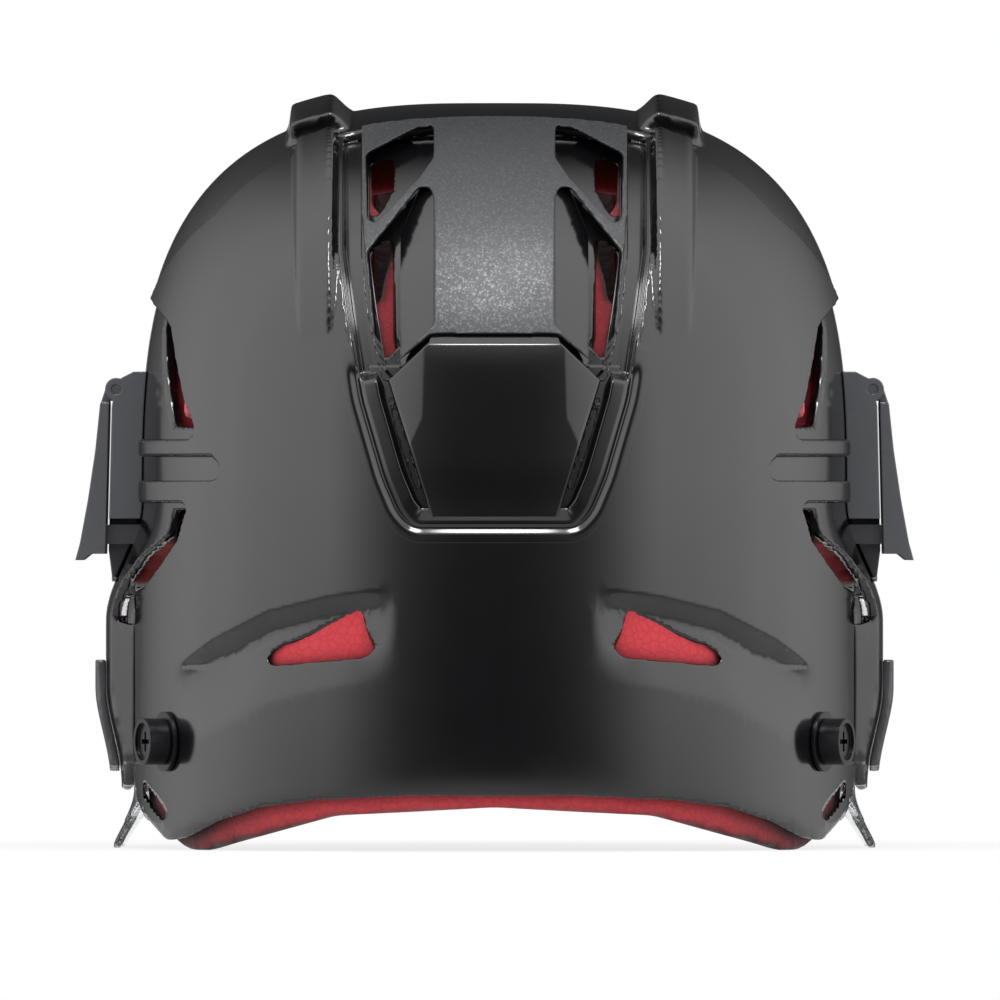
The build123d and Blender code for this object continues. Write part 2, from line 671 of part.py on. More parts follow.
def box_between(low, high):
    """Box between two opposite corners."""
    sizes = [b - a for a, b in zip(low, high)]
    return Pos(*[(a + b) / 2 for a, b in zip(low, high)]) * Box(*sizes)


def side_box(side, inside, outside, rear, front, low, high):
    """Box on one side of the helmet, between two distances from the middle plane."""
    near, far = sorted((side * inside, side * outside))
    return box_between((near, rear, low), (far, front, high))


def pawl_window(side):
    """Room for a pawl's swing through the front shell, the lever base and the foam."""
    low = PAWL_HEIGHT_ON_SHELL - PAWL_THICKNESS / 2 - WINDOW_DROP
    high = PAWL_HEIGHT_ON_SHELL + PAWL_THICKNESS / 2 + WINDOW_SIDE_GAP
    half = PAWL_LENGTH / 2 + WINDOW_SIDE_GAP
    return side_box(side, rack_out(), far_out(), PAWL_REACH - half, PAWL_REACH + half, low, high)


def rack_channel(side):
    """Room in the foam for a size rack and its travel."""
    low = PAWL_HEIGHT_ON_SHELL - RACK_HEIGHT / 2 - RACK_ROOM
    high = PAWL_HEIGHT_ON_SHELL + RACK_HEIGHT / 2 + RACK_ROOM
    inside = rack_out() - RACK_WALL - RACK_ROOM
    outside = rack_out() + RACK_TOOTH_RISE + RACK_ROOM
    return side_box(side, inside, outside, far_back(), RACK_FRONT + RACK_ROOM, low, high)


def front_liner():
    """Front impact foam, from the brow back over the crown."""
    half_channel = CHANNEL_OUTER_SHARES[0][0] * HALF_WIDTH
    edges = outside_front(FRONT_LINER_EDGE_SHARES, FRONT_LINER_SEAM_SHARE, half_channel)
    foam = carve(form(front_inner() - SEAT_GAP, EAR_FLARE), edges + [form(-LINER_INNER_DEPTH)])
    foam -= [along_y(end_points(FRONT_TOP_VENT_SHARES, side), 0, far_front()) for side in (-1, 1)]
    foam -= [place * nut_pocket(nut_depth() + BROW_HEAD_HEIGHT) for place in brow_places()]
    visor_room = VISOR_BOSS_LENGTH + VISOR_BOSS_RADIUS
    foam = carve(foam, [place * nut_pocket(visor_room) for place in visor_places()])
    return carve(foam, [room(side) for side in (-1, 1) for room in (pawl_window, rack_channel)])


def rear_liner():
    """Rear impact foam, from the crown down to the hem that shows under the rear shell."""
    half_channel = CHANNEL_OUTER_SHARES[0][0] * HALF_WIDTH
    channel = rear_prism(mirrored_outline([(x + CHANNEL_ROOM_SHARE, z) for x, z in CHANNEL_OUTER_SHARES]))
    tools = front_sides(REAR_LINER_EDGE_SHARES, REAR_LINER_SEAM_SHARE, half_channel - SHELL_WALL)
    tools += [under_hem(FOAM_HEM_SHARES), channel - back_form(-CHANNEL_DEPTH - SHELL_WALL - SEAT_GAP)]
    tab_rear, tab_high = side_points([TAB_TOP_SHARES])[0]
    tab_low = side_points([TAB_FOOT_SHARES])[0][1]
    rear, low, high = tab_rear - TAB_ROOM, tab_low - TAB_ROOM, tab_high + TAB_ROOM
    tab = box_between((-far_out(), rear, low), (far_out(), 0, high))
    tools += [tab - Pos(0, SIZE_TRAVEL, 0) * back_form(front_inner() - SEAT_GAP)]
    tools += [place * nut_pocket(nut_depth() + STRAP_HEAD_HEIGHT) for place in strap_places()]
    tools += rear_prisms(UPPER_FOAM_VENT_SHARES) + rear_prisms(LOWER_FOAM_VENT_SHARES)
    tools += [rack_channel(side) for side in (-1, 1)] + [back_form(-LINER_INNER_DEPTH)]
    return carve(back_form(-SHELL_WALL - SEAT_GAP), tools)


@cache
def ear_guard():
    """Clear guard plate over one ear, with its ear hole and its rear finger."""
    outer = front_inner() - SEAT_GAP
    outline = make_face(Polyline(*side_points(GUARD_SHARES), close=True))
    outline = fillet(outline.vertices(), GUARD_CORNER_RADIUS)
    hole_y, hole_z = side_points([EAR_HOLE_CENTRE_SHARES])[0]
    outline -= Pos(hole_y, hole_z) * Ellipse(EAR_HOLE_HALF_LENGTH, EAR_HOLE_HALF_HEIGHT)
    area = extrude(Plane.YZ * outline, amount=far_out())
    return (form(outer, EAR_FLARE) & area) - form(outer - GUARD_WALL, EAR_FLARE)


@cache
def strap_socket_place():
    """Plane on the right anchor plate's outer face that the strap's stud stands square on."""
    y, z, grow = STRAP_SOCKET_REACH, STRAP_SOCKET_HEIGHT, fit_front() + SEAT_GAP + ANCHOR_WALL
    x = flank_out(y, z, grow, EAR_FLARE)
    above, below = (flank_out(y, z + step, grow, EAR_FLARE) for step in (LEAN_STEP, -LEAN_STEP))
    facing = outward(x, y, z, grow, EAR_FLARE) - Vector(0, 0, (above - below) / (2 * LEAN_STEP))
    return Plane(origin=(x, y, z), z_dir=facing)


def strap_anchor():
    """Anchor plate on one rear leg of the front shell, with the socket that a chin strap's stud takes."""
    seat = fit_front() + SEAT_GAP
    plate = form(seat + ANCHOR_WALL, EAR_FLARE) & along_x(side_points(ANCHOR_SHARES), 0, far_out())
    plate -= form(seat, EAR_FLARE)
    return plate - strap_socket_place() * drum(STRAP_SOCKET_RADIUS, -STRAP_SOCKET_DEPTH, OVERRUN)


def hinge_drum(radius, y_from, y_to):
    """Cylinder on the right lever's hinge axis between two places along Y."""
    place = Plane(origin=(hinge_out(), y_from, HINGE_HEIGHT), z_dir=(0, 1, 0))
    return place * drum(radius, 0, y_to - y_from)


def base_outline():
    """End view of a lever's base, from its inner top corner round to its inner foot."""
    out, up = hinge_out(), HINGE_HEIGHT
    inside = out - BASE_DEPTH
    return [
        (inside, up + BASE_TOP_RISE), (inside + BASE_TOP_WIDTH, up + BASE_TOP_RISE),
        (out, up + BASE_BROW_RISE), (out + BASE_FACE_TOP_OUT, up - BASE_TOP_RISE),
        (out + BASE_FACE_FOOT_OUT, up - BASE_FACE_DROP),
        (out + BASE_FACE_FOOT_OUT - BASE_CHAMFER, up - BASE_DROP), (inside, up - BASE_DROP - BASE_CHAMFER),
    ]


def flap_outline():
    """End view of a lever's flap, from its knuckle down its face and back up its inside."""
    out, up = hinge_out(), HINGE_HEIGHT
    face = [(out + x * FLAP_KICK, up - z * FLAP_DROP) for x, z in FLAP_FACE_SHARES]
    foot = up - FLAP_DROP
    inner_foot = out + BASE_FACE_FOOT_OUT + FLAP_GAP
    inner_top = out + BASE_FACE_TOP_OUT + FLAP_GAP
    return [(out, up + KNUCKLE_RADIUS), (out + KNUCKLE_RADIUS, up)] + face + [
        (out + FLAP_KICK - FLAP_LIP, foot), (out + FLAP_KICK - 2 * FLAP_LIP, foot + FLAP_LIP_RISE),
        (inner_foot, foot + FLAP_LIP_RISE), (inner_top, up - BASE_TOP_RISE), (inner_top, up - KNUCKLE_RADIUS),
        (out, up - KNUCKLE_RADIUS),
    ]


@cache
def lever_base():
    """Fixed bracket under a size lever, with two hinge ears."""
    base = along_y(base_outline(), LEVER_REAR, LEVER_FRONT)
    for y_from, y_to in ((LEVER_REAR, LEVER_REAR + EAR_WIDTH), (LEVER_FRONT - EAR_WIDTH, LEVER_FRONT)):
        base += hinge_drum(KNUCKLE_RADIUS, y_from, y_to)
    base -= hinge_drum(KNUCKLE_RADIUS + KNUCKLE_GAP, LEVER_REAR + EAR_WIDTH, LEVER_FRONT - EAR_WIDTH)
    base -= form(fit_front() + SEAT_GAP, EAR_FLARE)
    base -= hinge_drum(HINGE_PIN_RADIUS + HINGE_CLEARANCE, LEVER_REAR - OVERRUN, LEVER_FRONT + OVERRUN)
    base -= pawl_window(1)
    return base


@cache
def size_lever():
    """Flip-up flap of a size lever, hinged along its top edge."""
    inset = EAR_WIDTH + KNUCKLE_GAP
    flap = along_y(flap_outline(), LEVER_REAR, LEVER_FRONT)
    bottom = HINGE_HEIGHT - KNUCKLE_RADIUS - KNUCKLE_GAP
    for y_from, y_to in ((LEVER_REAR, LEVER_REAR + inset), (LEVER_FRONT - inset, LEVER_FRONT)):
        flap -= side_box(1, 0, far_out(), y_from, y_to, bottom, CROWN_HEIGHT)
    flap += hinge_drum(KNUCKLE_RADIUS, LEVER_REAR + inset, LEVER_FRONT - inset)
    flap -= hinge_drum(HINGE_PIN_RADIUS + HINGE_CLEARANCE, LEVER_REAR - OVERRUN, LEVER_FRONT + OVERRUN)
    return flap - pawl_block(HINGE_CLEARANCE)


def pawl_block(room):
    """Plain block of the right pawl, with room round it."""
    half_length, half_height = PAWL_LENGTH / 2 + room, PAWL_THICKNESS / 2 + room
    return side_box(
        1, pawl_tip_out(), hinge_out() + PAWL_ROOT_STANDOFF + room, PAWL_REACH - half_length,
        PAWL_REACH + half_length, PAWL_HEIGHT_ON_SHELL - half_height, PAWL_HEIGHT_ON_SHELL + half_height,
    )


@cache
def lever_pawl():
    """Locking pawl pressed into a lever, with a toothed tip that faces the rack."""
    first = PAWL_REACH - (PAWL_TEETH - 1) * RACK_TOOTH_PITCH / 2
    steps = [first + k * RACK_TOOTH_PITCH for k in range(PAWL_TEETH)]
    return pawl_block(0) - [tooth(y, pawl_tip_out(), RACK_TOOTH_RISE / 2) for y in steps]


def tooth(y, out, rise):
    """Upright tooth at a place on the right side, pointing outwards."""
    half = RACK_TOOTH_PITCH / 2
    points = [(out, y - half), (out + rise, y), (out, y + half)]
    low = PAWL_HEIGHT_ON_SHELL - RACK_HEIGHT / 2
    return extrude(Plane.XY.offset(low) * make_face(Polyline(*points, close=True)), amount=RACK_HEIGHT)


@cache
def hinge_pin():
    """Steel pin of a size lever's hinge."""
    return hinge_drum(HINGE_PIN_RADIUS, LEVER_REAR + SEAT_GAP, LEVER_FRONT - SEAT_GAP)


@cache
def size_rack():
    """Toothed size rack that the rear shell carries, reaching forward inside the front shell."""
    low, high = PAWL_HEIGHT_ON_SHELL - RACK_HEIGHT / 2, PAWL_HEIGHT_ON_SHELL + RACK_HEIGHT / 2
    bar = side_box(1, rack_out() - RACK_WALL, rack_out(), RACK_REAR, RACK_FRONT, low, high)
    steps = [RACK_FRONT - (k + 1) * RACK_TOOTH_PITCH for k in range(RACK_TEETH)]
    bar += [tooth(y, rack_out(), RACK_TOOTH_RISE) for y in steps]
    return bar & back_form(-SHELL_WALL - SEAT_GAP)


def strap_screws():
    """Two strap screws with dished heads and cross recesses."""
    height = STRAP_WASHER_WALL + SEAT_GAP
    head = drum(STRAP_HEAD_RADIUS, height, height + STRAP_HEAD_HEIGHT)
    head -= drum(STRAP_HEAD_RADIUS - STRAP_HEAD_RIM, height + STRAP_HEAD_HEIGHT - STRAP_HEAD_DISH, OVERRUN)
    head -= drive_cross(height + STRAP_HEAD_HEIGHT - STRAP_HEAD_DISH)
    screw = head + drum(SCREW_RADIUS, -nut_depth(), height)
    return Compound([place * screw for place in strap_places()])


def strap_washers():
    """Two broad washers under the strap screws."""
    ring_part = drum(STRAP_WASHER_RADIUS, SEAT_GAP / 2, SEAT_GAP / 2 + STRAP_WASHER_WALL)
    ring_part -= drum(SCREW_RADIUS + SCREW_HOLE_GAP, -OVERRUN, OVERRUN)
    return Compound([place * ring_part for place in strap_places()])


def brow_screws():
    """Two low screws on the forehead."""
    head = drum(BROW_HEAD_RADIUS, SEAT_GAP, SEAT_GAP + BROW_HEAD_HEIGHT)
    head -= drive_cross(SEAT_GAP + BROW_HEAD_HEIGHT)
    screw = head + drum(SCREW_RADIUS, -nut_depth(), SEAT_GAP)
    return Compound([place * screw for place in brow_places()])


def nuts(places):
    """Tee nuts at a set of places, as separate solids."""
    return Compound([place * tee_nut() for place in places])


def visor_nuts():
    """Four open tee nuts for a visor or a cage."""
    flange_top = VISOR_BOSS_LENGTH + SEAT_GAP
    nut = drum(VISOR_FLANGE_RADIUS, -flange_top - NUT_FLANGE_WALL, -flange_top)
    nut += drum(NUT_BARREL_RADIUS, -flange_top, -SEAT_GAP)
    nut -= drum(VISOR_HOLE_RADIUS, -OVERRUN, OVERRUN)
    return Compound([place * nut for place in visor_places()])


def pad(area, shape=form):
    """Comfort pad on the liner's inner face within an area."""
    return (shape(-LINER_INNER_DEPTH - SEAT_GAP) & area) - shape(-LINER_INNER_DEPTH - SEAT_GAP - PAD_WALL)


def front_area(shares):
    """Prism through the front half of the helmet from an outline seen from the front."""
    return along_y(end_points(shares), 0, far_front())


@cache
def temple_pad():
    """Comfort pad beside one temple."""
    return pad(along_x(side_points(TEMPLE_PAD_SHARES), 0, far_out())) - front_area(BROW_PAD_SHARES)


def nape_pads():
    """Two comfort pads low at the back of the head."""
    return Compound([pad(rear_prism(NAPE_PAD_SHARES, side), back_form) for side in (-1, 1)])


def crown_pad():
    """Comfort pad under the crown, on the front foam."""
    return pad(front_area(CROWN_PAD_SHARES))


NODES = {
    "front_shell": front_shell,
    "rear_shell": rear_shell,
    "crown_insert": crown_insert,
    "front_liner": front_liner,
    "rear_liner": rear_liner,
    "left_ear_guard": lambda: on_left(ear_guard),
    "right_ear_guard": ear_guard,
    "left_strap_anchor": lambda: on_left(strap_anchor),
    "right_strap_anchor": strap_anchor,
    "left_lever_base": lambda: on_left(lever_base),
    "right_lever_base": lever_base,
    "left_size_lever": lambda: on_left(size_lever),
    "right_size_lever": size_lever,
    "left_lever_pawl": lambda: on_left(lever_pawl),
    "right_lever_pawl": lever_pawl,
    "left_hinge_pin": lambda: on_left(hinge_pin),
    "right_hinge_pin": hinge_pin,
    "left_size_rack": lambda: on_left(size_rack),
    "right_size_rack": size_rack,
    "strap_screws": strap_screws,
    "strap_washers": strap_washers,
    "strap_nuts": lambda: nuts(strap_places()),
    "brow_screws": brow_screws,
    "brow_nuts": lambda: nuts(brow_places()),
    "visor_nuts": visor_nuts,
    "brow_pad": lambda: pad(front_area(BROW_PAD_SHARES)),
    "crown_pad": crown_pad,
    "left_temple_pad": lambda: on_left(temple_pad),
    "right_temple_pad": temple_pad,
    "nape_pads": nape_pads,
    "back_pad": lambda: pad(rear_prism(BACK_PAD_SHARES), back_form),
}

os.makedirs("parts", exist_ok=True)
for node, build in NODES.items():
    shape = build()
    export_step(shape, f"parts/{node}.step")
    print(node, len(shape.solids()), round(sum(s.volume for s in shape.solids())))
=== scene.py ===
import logging
import math
from dataclasses import dataclass
from enum import Enum
from typing import Any, Callable, Sequence

import bpy
import numpy as np
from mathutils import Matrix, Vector


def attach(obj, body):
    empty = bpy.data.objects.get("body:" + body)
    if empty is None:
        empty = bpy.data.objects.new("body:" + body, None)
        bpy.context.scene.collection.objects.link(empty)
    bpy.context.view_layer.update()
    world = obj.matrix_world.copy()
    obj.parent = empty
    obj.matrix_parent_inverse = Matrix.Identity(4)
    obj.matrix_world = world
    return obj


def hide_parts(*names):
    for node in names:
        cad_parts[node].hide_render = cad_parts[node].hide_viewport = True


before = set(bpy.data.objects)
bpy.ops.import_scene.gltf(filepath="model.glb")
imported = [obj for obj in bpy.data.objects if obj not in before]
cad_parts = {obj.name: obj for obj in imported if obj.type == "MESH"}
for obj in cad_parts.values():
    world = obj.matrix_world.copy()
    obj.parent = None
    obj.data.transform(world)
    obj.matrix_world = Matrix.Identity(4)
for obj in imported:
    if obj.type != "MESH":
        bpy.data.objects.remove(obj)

log = logging.getLogger("helmet")
MM = 0.001
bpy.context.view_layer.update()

# Where a smooth step starts and ends
Span = tuple[float, float]
# A smooth fall: its depth, where it starts and where it ends
Fall = tuple[float, float, float]
# An outline seen from behind, in millimetres: distance from the middle, and height
Outline = Sequence[tuple[float, float]]
Array = np.ndarray
# Function of places and offsets that gives a change of offset, and one of places that picks some of them
Relief = Callable[[Array, Array], Array]
Choice = Callable[[Array], Array] | None
Piece = bpy.types.Object
Tree = bpy.types.NodeTree
Socket = bpy.types.NodeSocket

# Clouds that vary roughness over a surface
CLOUD_SIZE = 22.0
CLOUD_DETAIL = 3.0
CLOUD_ROUGHNESS = 0.55
CLOUD_RANGE = (0.3, 0.7)
LEAST_ROUGHNESS = 0.02
# Painted shade: narrow hollows of foam are darkened towards a dark red, by how much of their surroundings is hidden
HOLLOW_REACH = 14.0
HOLLOW_POWER = 1.6
HOLLOW_SHADE_COLOUR = "#140304"
HOLLOW_SAMPLES = 8
# Rays that sharp edges are shaded round with
EDGE_SAMPLES = 6
# Elements of the textures
FLAKE_RANGE = (0.55, 0.95)
FLAKE_SHINE = -0.18
BEAD_GROOVE = (0.0, 0.16)
KNIT_WAVES = 6.3
KNIT_WOBBLE = 0.4
BRUSH_STRETCH = (1.0, 0.04, 1.0)
NOISE_ROUGHNESS = 0.5
# Input and output sockets of a mix of numbers or colours
MIX_SOCKETS = {"FLOAT": (2, 3, 0), "RGBA": (6, 7, 2)}

# Closest vertices that stay apart, in metres
MERGED = 1e-6
# Share of its way that a vertex goes in one round of smoothing, and grades that shares are rounded to
SMOOTHING = 0.5
GRADES = 4
# Limits that keep roots and divisions sound
NEARLY_ONE = 0.999999
TINY = 1e-9
# Faces this close to a plain level lie on it, those a little further off are drawn to it, in millimetres
SNAP = 0.28
FADE = 0.6
PLAIN_GAPS = (0.2, 0.5)
# Below this height faces stay where they are, in millimetres
SNAP_FOOT = 7.0
# Relief that is steeper than this is shaded from the mesh, and slopes are measured over a step in millimetres
STEEP = (0.6, 1.4)
SLOPE_STEP = 0.4
# How far the mesh has to face the form's way to be shaded from it
FACING = (0.8, 0.97)
# Rounds of smoothing where a layer isn't plain
EASE_ROUNDS = 6


def linear(hex_colour: str) -> tuple[float, float, float, float]:
    """Turn an sRGB hex colour into linear light.

    Args:
        hex_colour: Six hex digits, with or without a leading hash.

    Returns:
        Linear red, green, blue and an alpha of one.
    """
    digits = hex_colour.lstrip("#")
    parts = [int(digits[k:k + 2], 16) / 255 for k in (0, 2, 4)]
    shades = [p / 12.92 if p <= 0.04045 else ((p + 0.055) / 1.055) ** 2.4 for p in parts]
    return shades[0], shades[1], shades[2], 1.0


def add(tree: Tree, kind: str, inputs: dict[Any, Any], **settings: Any) -> bpy.types.Node:
    """Add one node with its settings and its inputs.

    Args:
        tree: The node tree that gets the node.
        kind: Blender's type name of the node.
        inputs: Socket to join or value to set, by the input's name or number.
        settings: Properties of the node itself.

    Returns:
        The new node.
    """
    node = tree.nodes.new(kind)
    for name, value in settings.items():
        setattr(node, name, value)
    for name, value in inputs.items():
        if isinstance(value, Socket):
            tree.links.new(value, node.inputs[name])
        else:
            node.inputs[name].default_value = value
    return node


def calc(tree: Tree, operation: str, *terms: Any) -> Socket:
    """Add a calculation with sockets or numbers, and give its result's socket."""
    return add(tree, "ShaderNodeMath", dict(enumerate(terms)), operation=operation).outputs[0]


def mix(tree: Tree, kind: str, share: Socket, first: Any, second: Any) -> Socket:
    """Add a mix of two numbers (FLOAT) or two colours (RGBA), and give its result's socket."""
    start, end, result = MIX_SOCKETS[kind]
    return add(tree, "ShaderNodeMix", {0: share, start: first, end: second}, data_type=kind).outputs[result]


def step(tree: Tree, value: Socket, ends: Span, levels: Span = (0.0, 1.0), kind: str = "SMOOTHSTEP") -> Socket:
    """Add a step of a value between two ends, from one level to another, and give its result's socket."""
    inputs = {"Value": value, "From Min": ends[0], "From Max": ends[1], "To Min": levels[0], "To Max": levels[1]}
    return add(tree, "ShaderNodeMapRange", inputs, interpolation_type=kind).outputs["Result"]


class Texture(Enum):
    """Surface texture of a finish."""

    PEEL = "faint ripple of a polished mould"
    FLAKE = "metal flakes in paint"
    BEAD = "beads of moulded foam"
    KNIT = "knitted lining"
    GRAIN = "fine spark-eroded grain"
    BRUSHED = "fine drawn lines"
    PLAIN = "smooth with faint dust"


NOISE_DETAILS = {Texture.PEEL: 2.0, Texture.BRUSHED: 4.0, Texture.GRAIN: 5.0, Texture.PLAIN: 5.0}


@dataclass(frozen=True)
class Finish:
    """One material of the helmet.

    Args:
        name: Name of the material and its process.
        colour: Main colour, sRGB hex.
        second: Second colour that the texture brings in, sRGB hex.
        texture: Kind of surface texture.
        size: Size of the texture's smallest element, in millimetres.
        depth: Height of the texture's relief, in millimetres.
        roughness: Mean roughness.
        spread: How far roughness varies about its mean.
        metallic: Share of metal.
        ior: Refractive index.
        clear: Share of light that passes through.
        sheen: Soft fuzz at grazing angles.
        rounding: Radius that sharp edges are shaded with, in millimetres.
        shade: How far painted shade darkens the colour of narrow hollows.
    """

    name: str
    colour: str
    second: str
    texture: Texture
    size: float
    depth: float
    roughness: float
    spread: float = 0.04
    metallic: float = 0.0
    ior: float = 1.5
    clear: float = 0.0
    sheen: float = 0.0
    rounding: float = 0.0
    shade: float = 0.0

    def material(self) -> bpy.types.Material:
        """Build the material's nodes, once for each finish.

        Returns:
            The material.
        """
        made = bpy.data.materials.get(self.name)
        if made:
            return made
        made = bpy.data.materials.new(self.name)
        made.use_nodes = True
        tree = made.node_tree
        tree.nodes.clear()
        place = add(tree, "ShaderNodeTexCoord", {}).outputs["Object"]
        colour, height, shine = self.pattern(tree, place)
        clouds = {"Vector": place, "Scale": 1 / (CLOUD_SIZE * MM), "Detail": CLOUD_DETAIL,
                  "Roughness": CLOUD_ROUGHNESS}
        cloud = add(tree, "ShaderNodeTexNoise", clouds, noise_dimensions="3D").outputs["Fac"]
        levels = max(LEAST_ROUGHNESS, self.roughness - self.spread), self.roughness + self.spread
        roughness = step(tree, cloud, CLOUD_RANGE, levels, "LINEAR")
        if shine is not None:
            roughness = calc(tree, "ADD", roughness, shine)
        # Painted shade: ambient occlusion darkens the colour towards a dark red in narrow hollows
        if self.shade:
            open_share = add(tree, "ShaderNodeAmbientOcclusion", {"Distance": HOLLOW_REACH * MM},
                             samples=HOLLOW_SAMPLES).outputs["AO"]
            open_share = calc(tree, "POWER", open_share, HOLLOW_POWER * self.shade)
            colour = mix(tree, "RGBA", open_share, linear(HOLLOW_SHADE_COLOUR), colour)
        bump = {"Height": height, "Strength": 1.0, "Distance": self.depth * MM}
        if self.rounding:
            bump["Normal"] = add(tree, "ShaderNodeBevel", {"Radius": self.rounding * MM},
                                 samples=EDGE_SAMPLES).outputs["Normal"]
        relief = add(tree, "ShaderNodeBump", bump).outputs["Normal"]
        shader = add(tree, "ShaderNodeBsdfPrincipled", {
            "Base Color": colour, "Roughness": roughness, "Normal": relief, "Metallic": self.metallic,
            "IOR": self.ior, "Transmission Weight": self.clear, "Sheen Weight": self.sheen})
        add(tree, "ShaderNodeOutputMaterial", {"Surface": shader.outputs["BSDF"]})
        return made

    def pattern(self, tree: Tree, place: Socket) -> tuple[Socket, Socket, Socket | None]:
        """Add the texture's nodes.

        Args:
            tree: The material's node tree.
            place: Socket with the place on the piece, in metres.

        Returns:
            Sockets of the colour and the relief's height, and what is added to roughness or None.
        """
        shine = None
        grid = {"Vector": place, "Scale": 1 / (self.size * MM)}
        if self.texture is Texture.FLAKE:
            cells = add(tree, "ShaderNodeTexVoronoi", grid, feature="F1").outputs
            share, height = step(tree, cells["Color"], FLAKE_RANGE, kind="LINEAR"), cells["Distance"]
            shine = calc(tree, "MULTIPLY", share, FLAKE_SHINE)
        elif self.texture is Texture.BEAD:
            cells = add(tree, "ShaderNodeTexVoronoi", grid, feature="DISTANCE_TO_EDGE").outputs
            height = step(tree, cells["Distance"], BEAD_GROOVE)
            share = calc(tree, "SUBTRACT", 1.0, height)
        elif self.texture is Texture.KNIT:
            rows = {"Vector": place, "Scale": grid["Scale"] / KNIT_WAVES, "Distortion": KNIT_WOBBLE}
            waves = [add(tree, "ShaderNodeTexWave", rows, bands_direction=axis, wave_profile="SIN").outputs["Fac"]
                     for axis in "XYZ"]
            share = height = calc(tree, "MULTIPLY", calc(tree, "MAXIMUM", waves[0], waves[1]), waves[2])
        else:
            if self.texture is Texture.BRUSHED:
                lines = {"Vector": place, "Scale": BRUSH_STRETCH}
                grid["Vector"] = add(tree, "ShaderNodeMapping", lines).outputs["Vector"]
            grid.update(Detail=NOISE_DETAILS[self.texture], Roughness=NOISE_ROUGHNESS)
            share = height = add(tree, "ShaderNodeTexNoise", grid).outputs["Fac"]
        return mix(tree, "RGBA", share, linear(self.colour), linear(self.second)), height, shine


# High-gloss moulded ABS: near black, with the studio's panels lying on it like on a piano lid.
GLOSS_BLACK = Finish("gloss_black_abs", "#0b0b0d", "#121214", Texture.PEEL, 9.0, 0.012, 0.14, 0.02, ior=1.52)
# Flake paint on the vent frame: grey with single flakes that catch the light.
FLAKE_GREY = Finish("flake_grey_paint", "#303133", "#4b4c4f", Texture.FLAKE, 0.42, 0.02, 0.48, 0.03,
                    metallic=0.3)
# Expanded polypropylene, steam moulded: dull red with the pattern of its beads, and painted shade that darkens its
# narrow hollows.
BEAD_RED = Finish("red_expanded_foam", "#cf3a44", "#c2333d", Texture.BEAD, 2.2, 0.05, 0.78, 0.05, sheen=0.15,
                  shade=0.8)
# Knitted lining over soft foam: black, dry, with fine rows.
KNIT_BLACK = Finish("black_knit_lining", "#0d0d0f", "#1e1e21", Texture.KNIT, 1.1, 0.12, 0.88, 0.04, sheen=0.3)
# Clear polycarbonate of the ear guards: thin, glassy, faintly smoked.
CLEAR_PC = Finish("clear_polycarbonate", "#d9dcdf", "#e6e9ec", Texture.PEEL, 12.0, 0.006, 0.04, 0.015, ior=1.586,
                  clear=1.0)
# Glass-filled nylon of levers and brackets: charcoal with a fine grain.
CHARCOAL_NYLON = Finish("charcoal_nylon", "#515256", "#5c5d61", Texture.GRAIN, 0.6, 0.02, 0.34, 0.04, ior=1.53,
                        rounding=0.6)
# Satin black nylon of plates, racks and pawls.
BLACK_NYLON = Finish("satin_black_nylon", "#3d3d40", "#48484b", Texture.GRAIN, 0.6, 0.02, 0.3, 0.04, ior=1.53,
                     rounding=0.5)
# Black-oxide steel of the screws: dark, waxy, faintly metallic.
BLACK_OXIDE = Finish("black_oxide_steel", "#1c1c1e", "#2a2a2d", Texture.GRAIN, 0.4, 0.01, 0.32, 0.05,
                     metallic=0.85, rounding=0.35)
# Bright drawn steel of the pins.
DRAWN_STEEL = Finish("drawn_steel", "#b4b6b9", "#9b9da1", Texture.BRUSHED, 0.3, 0.004, 0.28, 0.05, metallic=1.0,
                     rounding=0.2)
# Zinc plating of the nuts: pale, cloudy grey.
ZINC = Finish("zinc_plated_steel", "#a3a6a8", "#8b8e90", Texture.PLAIN, 1.5, 0.005, 0.38, 0.06, metallic=1.0,
              rounding=0.3)


def dress(piece: Piece, finish: Finish) -> None:
    """Give a piece one finish all over.

    Args:
        piece: Mesh object.
        finish: The finish that it gets.
    """
    material = finish.material()
    if not piece.material_slots:
        piece.data.materials.append(material)
    for slot in piece.material_slots:
        slot.material = material
    log.info("dressed %s in %s", piece.name, finish.name)


def placed(piece: Piece, body: str, slot: str, finish: Finish, *nodes: str) -> Piece:
    """Dress a piece, ride it on its body and let it stand for CAD nodes.

    Args:
        piece: The finished piece.
        body: CAD body that it moves with.
        slot: The record's material slot that its finish belongs to; not used.
        finish: Its finish.
        nodes: CAD nodes that it stands for.

    Returns:
        The piece.
    """
    dress(piece, finish)
    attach(piece, body)
    if nodes:
        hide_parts(*nodes)
    return piece


def ramp(values: Array, start: float, end: float) -> Array:
    """Smooth step from nought at start to one at end.

    Args:
        values: Numbers to turn.
        start: Where the step starts.
        end: Where the step ends.

    Returns:
        Shares from nought to one.
    """
    part = np.clip((values - start) / (end - start), 0, 1)
    return part * part * (3 - 2 * part)


def ramp_mm(lengths: Array, ends: Span) -> Array:
    """Smooth step of lengths in metres between two ends in millimetres."""
    return ramp(lengths, ends[0] * MM, ends[1] * MM)


def fallen(values: Array, falls: Sequence[Fall]) -> Array:
    """Sum of smooth falls at values."""
    return sum(-depth * ramp(values, start, end) for depth, start, end in falls)


def unit(vectors: Array) -> Array:
    """Directions of vectors, one row each."""
    return vectors / np.maximum(np.linalg.norm(vectors, axis=1, keepdims=True), TINY)


